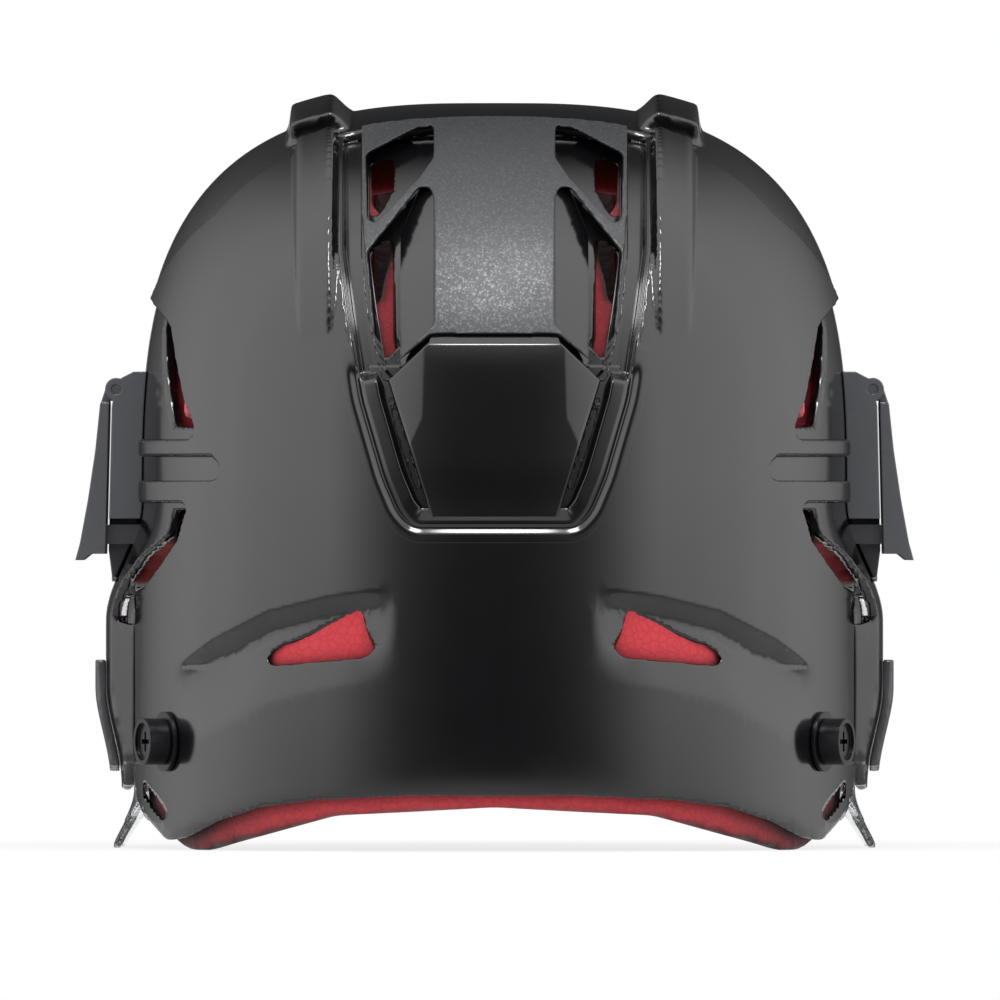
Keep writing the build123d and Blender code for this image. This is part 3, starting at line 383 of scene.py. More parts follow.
@dataclass(frozen=True)
class HeadForm:
    """Head form that every layer of the helmet follows, in metres.

    Args:
        flare: How far the form stands out beside the ears.
    """

    flare: float = 0.0
    half_width: float = 0.0935
    crown: float = 0.192
    equator: float = 0.088
    rear: float = 0.122
    front: float = 0.1252
    nape_tuck: float = 0.005
    flare_end: float = 0.058
    dip_share: float = 0.444
    dip_height: float = 0.015
    dip_span: float = 0.026
    dip_foot_span: float = 0.013
    ring_power: float = 2.4
    width_power: float = 3.0
    length_power: float = 2.3
    deepest: float = -0.04
    highest: float = 0.02
    halvings: int = 26
    nudge: float = 1e-5
    rounds: int = 3

    def profile(self, up: Array, offset: Array) -> tuple[Array, Array, Array]:
        """Half width, share of the length and reach backwards at heights, without the flare.

        Args:
            up: Heights.
            offset: Growth of the form for each height.

        Returns:
            One array each.
        """
        climb = np.clip((up - self.equator) / (self.crown - self.equator + offset), 0, NEARLY_ONE)
        drop = np.clip((self.equator - up) / self.equator, 0, None)
        width = (self.half_width + offset) * (1 - climb**self.width_power) ** (1 / self.width_power)
        share = (1 - climb**self.length_power) ** (1 / self.length_power)
        return width, share, (self.rear + offset) * share - self.nape_tuck * drop * drop

    def level(self, points: Array, offset: Array) -> Array:
        """How far out points lie on the form grown by an offset, where one is on its face.

        Args:
            points: Places, one row each.
            offset: Growth of the form for each place.

        Returns:
            One number for each place.
        """
        z = points[:, 2]
        width, share, back = self.profile(z, offset)
        span = np.where(z > self.dip_height, self.dip_span, self.dip_foot_span)
        dip = np.clip(1 - ((z - self.dip_height) / span) ** 2, 0, None) ** 2
        width = width + self.flare * (ramp(z, self.equator, self.flare_end) - self.dip_share * dip)
        reach = np.where(points[:, 1] > 0, (self.front + offset) * share, back)
        return (np.abs(points[:, 0]) / width) ** self.ring_power + (np.abs(points[:, 1]) / reach) ** self.ring_power

    def offset_of(self, points: Array) -> Array:
        """Offset of the form whose face each point lies on.

        Args:
            points: Places, one row each.

        Returns:
            Offsets in metres.
        """
        low, high = np.full(len(points), self.deepest), np.full(len(points), self.highest)
        for _ in range(self.halvings):
            middle = (low + high) / 2
            within = self.level(points, middle) < 1
            high, low = np.where(within, middle, high), np.where(within, low, middle)
        return (low + high) / 2

    def outward(self, points: Array, offset: Array) -> Array:
        """Unit outward directions of the form at points.

        Args:
            points: Places, one row each.
            offset: Offset that each point lies at.

        Returns:
            One direction for each place.
        """
        ways = self.nudge * np.eye(3)
        slopes = [self.level(points + way, offset) - self.level(points - way, offset) for way in ways]
        return unit(np.stack(slopes, axis=1))

    def from_behind(self, across: Array, up: Array, rise: Array) -> Array:
        """Places on the back of the form for places seen from behind.

        Args:
            across: Distances from the middle plane, in millimetres.
            up: Heights, in millimetres.
            rise: Growth of the form for each place, in millimetres.

        Returns:
            One row for each place, in metres.
        """
        across, up = across * MM, up * MM
        width, _, reach = self.profile(up, rise * MM)
        share = np.clip(np.abs(across) / width, 0, NEARLY_ONE)
        return np.stack([across, -reach * (1 - share**self.ring_power) ** (1 / self.ring_power), up], axis=1)

    def moved(self, points: Array, target: Array) -> Array:
        """Points moved straight outwards until they lie at a target offset.

        Args:
            points: Places, one row each.
            target: Offset that each point should lie at.

        Returns:
            The new places.
        """
        places = points.copy()
        for _ in range(self.rounds):
            offset = self.offset_of(places)
            places = places + self.outward(places, offset) * (target - offset)[:, None]
        return places


REAR_FORM = HeadForm()
FRONT_FORM = HeadForm(flare=9.0 * MM)


def inside(outline: Outline, across: Array, up: Array) -> Array:
    """Which places lie inside an outline seen from behind.

    Args:
        outline: Corners in millimetres.
        across: Distances from the middle plane, in metres.
        up: Heights, in metres.

    Returns:
        True for each place inside.
    """
    found = np.zeros(len(across), bool)
    corners = [(x * MM, z * MM) for x, z in outline]
    for (x0, z0), (x1, z1) in zip(corners, corners[1:] + corners[:1]):
        if z0 != z1:
            crosses = (z0 > up) != (z1 > up)
            found ^= crosses & (across < (x1 - x0) * (up - z0) / (z1 - z0) + x0)
    return found


def distance_to(line: Outline, across: Array, up: Array) -> Array:
    """Shortest distance from places to an open line seen from behind.

    Args:
        line: Points of the line in millimetres.
        across: Distances from the middle plane, in metres.
        up: Heights, in metres.

    Returns:
        Distances in metres.
    """
    best = np.full(len(across), np.inf)
    for (x0, z0), (x1, z1) in zip(line, line[1:]):
        dx, dz = (x1 - x0) * MM, (z1 - z0) * MM
        along = np.clip(((across - x0 * MM) * dx + (up - z0 * MM) * dz) / (dx * dx + dz * dz), 0, 1)
        best = np.minimum(best, np.hypot(across - x0 * MM - along * dx, up - z0 * MM - along * dz))
    return best


def across_at(line: Outline, up: Array) -> Array:
    """Distances from the middle of a line that climbs, at heights, all in millimetres."""
    return np.interp(up, [z for _, z in line], [x for x, _ in line])


def deselect() -> None:
    """Deselect every object."""
    for other in bpy.context.selected_objects:
        other.select_set(False)


def activate(piece: Piece) -> None:
    """Select one piece alone and make it active."""
    deselect()
    bpy.context.view_layer.objects.active = piece
    piece.select_set(True)


def edit_mesh(tool: Callable, **settings: Any) -> None:
    """Use one mesh tool on the whole of the active piece.

    Args:
        tool: The tool.
        settings: Its settings.
    """
    bpy.ops.object.mode_set(mode="EDIT")
    bpy.ops.mesh.select_all(action="SELECT")
    tool(**settings)
    bpy.ops.object.mode_set(mode="OBJECT")


def copy_of(node: str, name: str) -> Piece:
    """A merged copy of a CAD node's mesh as a new piece.

    Args:
        node: Name of the CAD node.
        name: Name of the new piece.

    Returns:
        The new piece.
    """
    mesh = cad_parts[node].data.copy()
    mesh.materials.clear()
    piece = bpy.data.objects.new(name, mesh)
    bpy.context.scene.collection.objects.link(piece)
    activate(piece)
    edit_mesh(bpy.ops.mesh.remove_doubles, threshold=MERGED)
    return piece


def finish_with(piece: Piece, kind: str, **settings: Any) -> None:
    """Put a modifier on a piece and apply it.

    Args:
        piece: The piece.
        kind: Blender's type name of the modifier.
        settings: Properties of the modifier.
    """
    activate(piece)
    modifier = piece.modifiers.new(kind.lower(), kind)
    for name, value in settings.items():
        setattr(modifier, name, value)
    bpy.ops.object.modifier_apply(modifier=modifier.name)


def rows_of(items: Any, name: str) -> Array:
    """Vectors of a mesh's items by the name they go by, one row each."""
    values = np.zeros(len(items) * 3, np.float32)
    items.foreach_get(name, values)
    return values.reshape(-1, 3).astype(float)


def vertices_of(piece: Piece) -> Array:
    """Places of a piece's vertices, one row each."""
    return rows_of(piece.data.vertices, "co")


def normals_of(piece: Piece) -> Array:
    """Normals of a piece's vertices, one row each."""
    return rows_of(piece.data.vertex_normals, "vector")


def set_vertices(piece: Piece, places: Array) -> None:
    """Move a piece's vertices to new places."""
    piece.data.vertices.foreach_set("co", places.astype(np.float32).ravel())
    piece.data.update()


def smooth(piece: Piece) -> None:
    """Shade a piece smooth all over."""
    piece.data.polygons.foreach_set("use_smooth", np.ones(len(piece.data.polygons), bool))


def remesh(piece: Piece, voxel: float, triangles: int, passes: int, keep: Choice = None) -> None:
    """Give a piece an even mesh with small rounded edges.

    Args:
        piece: The piece.
        voxel: Size of the even mesh, in millimetres.
        triangles: The most triangles that are kept.
        passes: Rounds of light smoothing.
        keep: Function of places that says where the even mesh is left as it is.
    """
    finish_with(piece, "REMESH", mode="VOXEL", voxel_size=voxel * MM)
    finish_with(piece, "SMOOTH", factor=SMOOTHING, iterations=passes)
    now = 2 * len(piece.data.polygons)
    if now > triangles:
        group = piece.vertex_groups.new(name="thinned")
        kept = keep(vertices_of(piece)) if keep else np.zeros(len(piece.data.vertices), bool)
        group.add(np.flatnonzero(~kept).tolist(), 1.0, "REPLACE")
        finish_with(piece, "DECIMATE", decimate_type="COLLAPSE", ratio=triangles / now,
                    vertex_group=group.name, vertex_group_factor=1.0)
        piece.vertex_groups.clear()
    log.info("%s has %d triangles", piece.name, sum(len(p.vertices) - 2 for p in piece.data.polygons))


def ease(piece: Piece, shares: Array) -> None:
    """Smooth a piece where its shares say so, which leaves its plain faces where they lie.

    Args:
        piece: The piece.
        shares: How far each vertex gives way, from nought to one.
    """
    group = piece.vertex_groups.new(name="eased")
    grades = np.round(shares * GRADES).astype(int)
    for grade in range(1, GRADES + 1):
        group.add(np.flatnonzero(grades == grade).tolist(), grade / GRADES, "REPLACE")
    finish_with(piece, "SMOOTH", factor=SMOOTHING, iterations=EASE_ROUNDS, vertex_group=group.name)
    piece.vertex_groups.clear()


def plain(points: Array, offset: Array) -> Array:
    """No relief: a change of nought for each place."""
    return np.zeros(len(points))


def settle(piece: Piece, form: HeadForm, levels: Sequence[float], relief: Relief) -> None:
    """Lay a layer's faces exactly on the head form, add a relief, and shade it from the form itself.

    Args:
        piece: Remeshed layer.
        form: The head form that it follows.
        levels: Offsets of its plain faces, in millimetres.
        relief: Function of places and offsets that gives the target offset's change.
    """
    points = vertices_of(piece)
    offset = form.offset_of(points)
    target, flat = offset.copy(), np.zeros(len(points))
    snap, fade = SNAP * MM, FADE * MM
    for level in levels:
        gap = offset - level * MM
        near = (np.abs(gap) < fade) & (points[:, 2] > SNAP_FOOT * MM)
        eased = np.sign(gap) * np.maximum(0, np.abs(gap) - snap) * fade / (fade - snap)
        target = np.where(near, level * MM + eased, target)
        flat = np.where(near, np.maximum(flat, 1 - ramp_mm(np.abs(gap), PLAIN_GAPS)), flat)
    old_normals = normals_of(piece)
    directions = form.outward(points, offset)
    lift = relief(points, offset)
    reach, tilt = SLOPE_STEP * MM, np.zeros_like(points)
    for axis in np.eye(3):
        tangent = axis - directions * (directions @ axis)[:, None]
        slope = relief(points + tangent * reach, offset) - relief(points - tangent * reach, offset)
        tilt += tangent * (slope / (2 * reach))[:, None]
    flat *= 1 - ramp(np.linalg.norm(tilt, axis=1), *STEEP)
    set_vertices(piece, form.moved(points, target + lift))
    ease(piece, 1 - flat)
    smooth(piece)
    # Faces that lie on the form take the form's own direction, tilted by the relief's slope
    facing = (old_normals * directions).sum(axis=1)
    weight = (flat * ramp(np.abs(facing), *FACING))[:, None]
    mixed = normals_of(piece) * (1 - weight) + unit(directions - tilt) * np.sign(facing)[:, None] * weight
    piece.data.normals_split_custom_set_from_vertices([tuple(n) for n in unit(mixed)])


@dataclass(frozen=True)
class Layer:
    """A layer of the helmet whose piece is laid back on the head form.

    Args:
        node: CAD node that the piece stands for.
        name: Name of the piece.
        body: CAD body that it moves with.
        slot: The record's material slot that its finish belongs to; it is passed on but not used.
        finish: Its finish.
        form: Head form that it follows.
        levels: Offsets of its plain faces, in millimetres.
        triangles: The most triangles that are kept.
        voxel: Size of its even mesh, in millimetres.
        passes: Rounds of light smoothing.
    """

    node: str
    name: str
    body: str
    slot: str
    finish: Finish
    form: HeadForm
    levels: Sequence[float]
    triangles: int
    voxel: float = 0.6
    passes: int = 2

    def build(self, relief: Relief = plain, keep: Choice = None) -> Piece:
        """Build the layer's piece.

        Args:
            relief: Function of places and offsets that gives the relief.
            keep: Function of places that says where the even mesh is left as it is.

        Returns:
            The piece, on its body.
        """
        piece = copy_of(self.node, self.name)
        remesh(piece, self.voxel, self.triangles, self.passes, keep)
        settle(piece, self.form, self.levels, relief)
        return placed(piece, self.body, self.slot, self.finish, self.node)


# Outer line of the channel from its straight sides down to the middle of its foot
CHANNEL_LINE = ((39.4, 152.4), (37.4, 136.7), (33.8, 114.2), (28.0, 94.3), (24.3, 85.6), (20.6, 81.8), (0.0, 81.8))


@dataclass
class RearShell:
    """Rear shell: its bulge, hollowed band, keel, hooded vents and sunk channel.

    Lines are seen from behind, in millimetres from the middle and from the floor. Spans, depths and levels are in
    millimetres too.
    """

    layer: Layer = Layer("rear_shell", "rear_shell_skin", "rear", "shell_black", GLOSS_BLACK, REAR_FORM,
                         (0.0, -1.4, -2.8, -4.0, -6.8), 192000, voxel=0.85)
    back: Span = (0.0, 20.0)
    crease: Outline = ((0.0, 66.5), (28.0, 65.9), (42.0, 63.9), (57.2, 60.1), (71.2, 53.0), (81.4, 45.9))
    hollow_depth: float = 2.6
    hollow_start: Span = (-0.8, 4.5)
    hollow_end: Span = (5.0, 23.0)
    hollow_keel: Span = (24.5, 34.5)
    hollow_side: Span = (67.0, 83.0)
    hood: Outline = ((59.5, 50.0), (34.0, 61.4), (32.6, 56.0), (29.0, 51.0), (40.0, 50.0))
    hood_depth: float = 2.2
    hood_edge: Span = (0.0, 1.6)
    filled_levels: Span = (-1.7, -0.3)
    filled_top: float = 66.5
    filled_depth: float = 1.2
    channel: Outline = ((39.4, 230.0),) + CHANNEL_LINE
    channel_edge: Span = (-0.2, 0.9)
    outer_level: float = -4.4
    face_level: float = -2.2
    sunk_level: float = -5.0
    inner_sink: float = 1.0
    strip_edge: Span = (-2.9, -2.1)
    strip_end: Span = (124.0, 127.0)
    strip_level: float = -1.7
    strip_sink: float = 2.3
    fine_band: Span = (-13.0, 7.0)

    def build(self) -> Piece:
        """Build the rear shell's piece on the rear body."""
        return self.layer.build(self.relief, self.fine)

    def relief(self, points: Array, offset: Array) -> Array:
        """Change of offset that shapes the plain layer.

        Args:
            points: Places on the layer.
            offset: Offsets of the places from the head form.

        Returns:
            Change of offset for each place.
        """
        across, up = np.abs(points[:, 0]), points[:, 2]
        lift = self.hollow(across, up)
        # The plain layer's flat step under the crease is filled, and the hollow takes its place
        low, high = self.filled_levels
        filled = (offset > low * MM) & (offset < high * MM) & (up < self.filled_top * MM)
        lift = np.where(filled, lift - np.clip(offset, -self.filled_depth * MM, 0), lift)
        return (lift + self.sunk(across, up, offset)) * ramp_mm(-points[:, 1], self.back)

    def hollow(self, across: Array, up: Array) -> Array:
        """Hollowed band under the crease, with the hoods over the nape vents.

        Args:
            across: Distances from the middle plane, in metres.
            up: Heights, in metres.

        Returns:
            Change of offset for each place.
        """
        below = np.interp(across, [x * MM for x, _ in self.crease], [z * MM for _, z in self.crease]) - up
        sides = ramp_mm(across, self.hollow_keel) * (1 - ramp_mm(across, self.hollow_side))
        dip = ramp_mm(below, self.hollow_start) * (1 - ramp_mm(below, self.hollow_end))
        closed = tuple(self.hood) + (self.hood[0],)
        depth = np.where(inside(self.hood, across, up), distance_to(closed, across, up), 0.0)
        return -self.hollow_depth * MM * dip * sides - self.hood_depth * MM * ramp_mm(depth, self.hood_edge)

    def within_line(self, across: Array, up: Array) -> Array:
        """How far places lie inside the channel's outer line, less than nought outside it."""
        away = distance_to(self.channel, across, up)
        return np.where(inside((*self.channel, (0.0, self.channel[0][1])), across, up), away, -away)

    def fine(self, points: Array) -> Array:
        """Which places need the even mesh: the channel's edge and the ridges beside it."""
        away = self.within_line(np.abs(points[:, 0]), points[:, 2])
        return (away > self.fine_band[0] * MM) & (away < self.fine_band[1] * MM) & (points[:, 1] < 0)

    def sunk(self, across: Array, up: Array, offset: Array) -> Array:
        """Sink the channel and a strip beside it, which the channel's trim then covers.

        Args:
            across: Distances from the middle plane, in metres.
            up: Heights, in metres.
            offset: Offsets of the places from the head form.

        Returns:
            Change of offset for each place.
        """
        away = self.within_line(across, up)
        sink = np.where(offset > self.face_level * MM, self.sunk_level * MM - offset, -self.inner_sink * MM)
        beside = ramp_mm(away, self.strip_edge) * (1 - ramp_mm(up, self.strip_end))
        strip = -self.strip_sink * MM * beside * (offset > self.strip_level * MM)
        within = ramp_mm(away, self.channel_edge)
        return np.where(offset > self.outer_level * MM, sink * within + strip * (1 - within), 0.0)


@dataclass
class ChannelTrim:
    """Raised U band round the sunk channel, the tongue inside it and the slanted panels beside it.

    Lines are seen from behind, in millimetres from the middle and from the floor. The band's section is given by
    distances inwards from its line and by rises from the head form, one list each for its sides, for the slots above
    them and for its foot.
    """

    outer: Outline = ((39.4, 181.0),) + CHANNEL_LINE
    corner: float = 5.0
    spacing: float = 0.7
    section: Sequence[float] = (-3.9, -2.7, -2.3, -1.7, -1.2, -0.6, -0.2, 0.1, 0.8, 1.25, 1.6, 4.4, 4.75, 5.0, 5.15,
                                5.25, 7.6)
    side_rises: Sequence[float] = (0.05, 0.05, 0.0, -0.25, -0.7, -1.15, -1.3, -1.2, -0.62, -0.38, -0.33, -0.35,
                                   -0.45, -0.8, -1.6, -4.2, -4.2)
    slot_rises: Sequence[float] = (0.05, 0.05, 0.0, -0.25, -0.7, -1.15, -1.3, -1.2, -0.7, -2.9, -4.1, -4.2, -4.2,
                                   -4.2, -4.2, -4.2, -4.2)
    foot_rises: Sequence[float] = (0.05, 0.05, 0.0, -0.15, -0.4, -0.8, -1.0, -0.95, -0.5, -0.38, -0.4, -1.5, -1.65,
                                   -1.9, -2.4, -4.2, -4.2)
    cuts: int = 60
    foot: Span = (88.0, 98.0)
    foot_reach: float = 5.4
    slot: Span = (118.0, 120.5)
    lip: Span = (119.0, 124.0)
    lip_edge: Span = (0.0, 0.5)
    lip_rise: float = 0.05
    buried: Span = (127.5, 130.5)
    buried_depth: float = 0.65
    band_wall: float = 0.9
    floor_rise: float = -4.15
    floor_ends: Span = (83.3, 123.0)
    floor_margin: float = 2.0
    floor_cuts: tuple[int, int] = (40, 40)
    floor_wall: float = 0.6
    tongue_half: Outline = ((16.1, 83.5), (17.8, 89.5), (27.1, 119.0), (16.9, 128.6), (16.6, 130.8))
    tongue_cuts: tuple[int, int] = (180, 140)
    tongue_rise: float = 0.25
    tongue_falls: Sequence[Fall] = ((1.1, 104.0, 86.0), (3.0, 130.4, 130.8))
    tongue_sides: Sequence[Fall] = ((3.8, -0.3, 0.0), (0.25, -0.9, -0.2))
    tongue_top: Span = (127.6, 128.6)
    tongue_top_foot: float = 128.0
    tongue_top_slope: float = 0.62
    facet_line: Outline = ((24.0, 83.5), (24.0, 90.0), (22.8, 99.4), (18.2, 109.6), (17.6, 130.8))
    facet_slope: float = 0.17
    panel_edge: Outline = ((15.6, 121.0), (24.0, 121.01), (25.6, 130.0), (25.6, 152.5), (19.0, 168.0))
    panel_cuts: tuple[int, int] = (24, 60)
    panel_inner: float = 14.6
    panel_rise: float = -1.15
    panel_slope: float = 0.42
    panel_falls: Sequence[Fall] = ((1.2, 0.96, 1.0),)
    wall: float = 0.8

    def build(self) -> None:
        """Build the band, the floor, the tongue and both panels on the rear body."""
        for piece in (self.band(), self.floor(), self.tongue(), self.panel(-1, "left"), self.panel(1, "right")):
            placed(piece, "rear", "shell_black", GLOSS_BLACK)

    def line(self) -> tuple[Array, Array]:
        """Line of the band with rounded corners, from the top left down and up to the top right.

        Returns:
            Points of the line in metres, and the directions inwards from them.
        """
        corners = np.array([(-x, z) for x, z in self.outer] + list(self.outer[-2::-1])) * MM
        lengths = np.concatenate([[0], np.cumsum(np.linalg.norm(np.diff(corners, axis=0), axis=1))])
        stations = np.linspace(0, lengths[-1], int(lengths[-1] / (self.spacing * MM)) + 1)
        path = np.stack([np.interp(stations, lengths, corners[:, k]) for k in (0, 1)], axis=1)
        reach = int(self.corner / self.spacing / 2)
        extended = np.concatenate([2 * path[0] - path[reach:0:-1], path, 2 * path[-1] - path[-2:-reach - 2:-1]])
        kernel = np.ones(2 * reach + 1) / (2 * reach + 1)
        path = np.stack([np.convolve(extended[:, k], kernel, mode="valid") for k in (0, 1)], axis=1)
        along = np.gradient(path, axis=0)
        along /= np.linalg.norm(along, axis=1, keepdims=True)
        return path, np.stack([-along[:, 1], along[:, 0]], axis=1)

    def band(self) -> Piece:
        """Build the band along its line, with a section that turns from slot to flat to slant.

        Returns:
            The piece.
        """
        path, inward = self.line()
        count = len(path) - 1

        def shape(u: Array, v: Array) -> Array:
            """Places of the band for shares across and along it."""
            row = np.clip(np.round(v * count).astype(int), 0, count)
            up = path[row][:, 1]
            away = np.minimum(self.section[0] + (self.section[-1] - self.section[0]) * u,
                              np.interp(up / MM, self.foot, (self.foot_reach, self.section[-1])))
            spot = path[row] / MM + inward[row] * away[:, None]
            side, slot, foot = (np.interp(away, self.section, rises)
                                for rises in (self.side_rises, self.slot_rises, self.foot_rises))
            level = np.abs(inward[row][:, 1]) ** 2
            high = ramp_mm(up, self.slot)
            rise = side * (1 - high) * (1 - level) + slot * high + foot * (1 - high) * level
            filled = ramp_mm(up, self.lip) * (1 - ramp(away, *self.lip_edge))
            lip = self.lip_rise - self.buried_depth * ramp_mm(up, self.buried)
            return REAR_FORM.from_behind(spot[:, 0], spot[:, 1], rise * (1 - filled) + lip * filled)

        return shaped_grid("channel_band", (self.cuts, count), shape, self.band_wall)

    def floor(self) -> Piece:
        """Build the floor of the groove between the band and the tongue.

        Returns:
            The piece.
        """
        low, high = self.floor_ends

        def shape(u: Array, v: Array) -> Array:
            """Places of the floor for shares across and up it."""
            up = low + (high - low) * v
            across = (2 * u - 1) * (across_at(self.outer[-2::-1], up) - self.floor_margin)
            return REAR_FORM.from_behind(across, up, np.full(len(up), self.floor_rise))

        return shaped_grid("channel_floor", self.floor_cuts, shape, self.floor_wall)

    def tongue(self) -> Piece:
        """Build the tongue with its two facets and its slanted top edge.

        Returns:
            The piece.
        """
        low, high = self.tongue_half[0][1], self.tongue_half[-1][1]

        def shape(u: Array, v: Array) -> Array:
            """Places of the tongue for shares across and up it."""
            up = low + (high - low) * v
            half = across_at(self.tongue_half, up)
            across = (2 * u - 1) * half
            rise = self.tongue_rise + fallen(up, self.tongue_falls) + fallen(np.abs(across) - half, self.tongue_sides)
            rise -= self.facet_slope * np.maximum(0, np.abs(across) - across_at(self.facet_line, up))
            rise -= self.tongue_top_slope * np.maximum(0, up - self.tongue_top_foot) * ramp(up, *self.tongue_top)
            return REAR_FORM.from_behind(across, up, rise)

        return shaped_grid("channel_tongue", self.tongue_cuts, shape, self.wall)

    def panel(self, side: int, which: str) -> Piece:
        """Build one slanted panel between the vent frame and its lower window.

        Args:
            side: Minus one on the left, one on the right.
            which: The side's name.

        Returns:
            The piece.
        """
        low, high = self.panel_edge[0][1], self.panel_edge[-1][1]

        def shape(u: Array, v: Array) -> Array:
            """Places of the panel for shares across and up it."""
            up = low + (high - low) * v
            across = (across_at(self.panel_edge, up) - self.panel_inner) * u
            rise = self.panel_rise - across * self.panel_slope + fallen(u, self.panel_falls)
            return REAR_FORM.from_behind(side * (self.panel_inner + across), up, rise)

        return shaped_grid(f"{which}_vent_panel", self.panel_cuts, shape, self.wall)


def shaped_grid(name: str, cuts: tuple[int, int], shape: Callable, wall: float) -> Piece:
    """A grid shaped into a thin moulded sheet with its outer side on the shape.

    Args:
        name: Name of the new piece.
        cuts: Cuts across and along the grid.
        shape: Function of shares across and along that gives places.
        wall: Thickness inwards, in millimetres.

    Returns:
        The piece.
    """
    deselect()
    bpy.ops.mesh.primitive_grid_add(x_subdivisions=cuts[0], y_subdivisions=cuts[1], size=1)
    piece = bpy.context.object
    piece.name = name
    shares = vertices_of(piece) + 0.5
    places = shape(shares[:, 0], shares[:, 1])
    set_vertices(piece, places)
    if (normals_of(piece) * (places * (1, 1, 0))).sum() < 0:
        edit_mesh(bpy.ops.mesh.flip_normals)
    smooth(piece)
    finish_with(piece, "SOLIDIFY", thickness=wall * MM, offset=-1.0, use_even_offset=False)
    smooth(piece)
    return piece


@dataclass
class FrontShell:
    """Front shell, laid on the flared head form."""

    layer: Layer = Layer("front_shell", "front_shell_skin", "front", "shell_black", GLOSS_BLACK, FRONT_FORM,
                         (-1.8, -3.2, -6.0), 192000, voxel=1.15)

    def build(self) -> Piece:
        """Build the front shell's piece on the front body."""
        return self.layer.build()


@dataclass
class ThinParts:
    """Vent frame, ear guards and strap anchors, each laid on the head form."""

    layers: Sequence[Layer] = (
        Layer("crown_insert", "vent_frame", "rear", "vent_grey", FLAKE_GREY, REAR_FORM, (-0.5, -3.7), 120000),
        *(layer for side in ("left", "right") for layer in (
            Layer(f"{side}_ear_guard", f"{side}_clear_guard", "front", "guard_clear", CLEAR_PC, FRONT_FORM,
                  (-6.3, -8.5), 60000, passes=3),
            Layer(f"{side}_strap_anchor", f"{side}_anchor_plate", "front", "anchor_black", BLACK_NYLON, FRONT_FORM,
                  (-2.9, -0.5), 20000))))

    def build(self) -> None:
        """Build the vent frame, the two guards and the two anchor plates."""
        for layer in self.layers:
            layer.build()


@dataclass
class Linings:
    """Moulded foam liners and knitted comfort pads."""

    foam_voxel: float = 1.9
    foam_triangles: int = 150000
    foam_passes: int = 3
    pad_voxel: float = 2.0
    pad_smoothing: float = 0.6
    pad_passes: int = 4
    swollen_passes: int = 2
    pressure: float = 4.0
    quality: int = 4
    frames: int = 20
    swell: float = 1.1

    def build(self) -> None:
        """Build both liners and all comfort pads."""
        for node, body in (("front_liner", "front"), ("rear_liner", "rear")):
            foam = copy_of(node, f"{node}_foam")
            remesh(foam, self.foam_voxel, self.foam_triangles, self.foam_passes)
            smooth(foam)
            placed(foam, body, "foam_red", BEAD_RED, node)
        pads = (("brow_pad", "front"), ("crown_pad", "front"), ("left_temple_pad", "front"),
                ("right_temple_pad", "front"), ("nape_pads", "rear"), ("back_pad", "rear"))
        for node, body in pads:
            pad = self.pad(node)
            placed(pad, body, "pad_black", KNIT_BLACK, node)

    def pad(self, node: str) -> Piece:
        """Build one padded piece from a CAD pad.

        Args:
            node: Name of the CAD pad.

        Returns:
            The piece.
        """
        piece = copy_of(node, f"{node}_soft")
        finish_with(piece, "REMESH", mode="VOXEL", voxel_size=self.pad_voxel * MM)
        finish_with(piece, "SMOOTH", factor=self.pad_smoothing, iterations=self.pad_passes)
        start = vertices_of(piece)
        self.inflate(piece)
        growth = vertices_of(piece) - start
        length = np.linalg.norm(growth, axis=1, keepdims=True)
        set_vertices(piece, start + unit(growth) * np.minimum(length, self.swell * MM))
        finish_with(piece, "SMOOTH", factor=SMOOTHING, iterations=self.swollen_passes)
        finish_with(piece, "SUBSURF", levels=1, render_levels=1)
        smooth(piece)
        return piece

    def inflate(self, piece: Piece) -> None:
        """Swell a pad with cloth pressure and keep the result in its mesh.

        Args:
            piece: The pad.
        """
        activate(piece)
        cloth = piece.modifiers.new("swell", "CLOTH")
        cloth.settings.use_pressure = True
        cloth.settings.uniform_pressure_force = self.pressure
        cloth.settings.quality = self.quality
        cloth.settings.effector_weights.gravity = 0
        cloth.point_cache.frame_start, cloth.point_cache.frame_end = 1, self.frames
        for number in range(1, self.frames + 1):
            bpy.context.scene.frame_set(number)
        bpy.ops.object.modifier_apply(modifier=cloth.name)
        bpy.context.scene.frame_set(1)


@dataclass
class Hardware:
    """CAD nodes that keep their own shape and get a finish."""

    def build(self) -> None:
        """Dress the levers, racks, pins, screws, washers and nuts."""
        finishes = {
            CHARCOAL_NYLON: ("left_lever_base", "right_lever_base", "left_size_lever", "right_size_lever"),
            BLACK_NYLON: ("left_lever_pawl", "right_lever_pawl", "left_size_rack", "right_size_rack"),
            BLACK_OXIDE: ("strap_screws", "strap_washers", "brow_screws"),
            DRAWN_STEEL: ("left_hinge_pin", "right_hinge_pin"),
            ZINC: ("strap_nuts", "brow_nuts", "visor_nuts"),
        }
        for finish, nodes in finishes.items():
            for node in nodes:
                dress(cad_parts[node], finish)


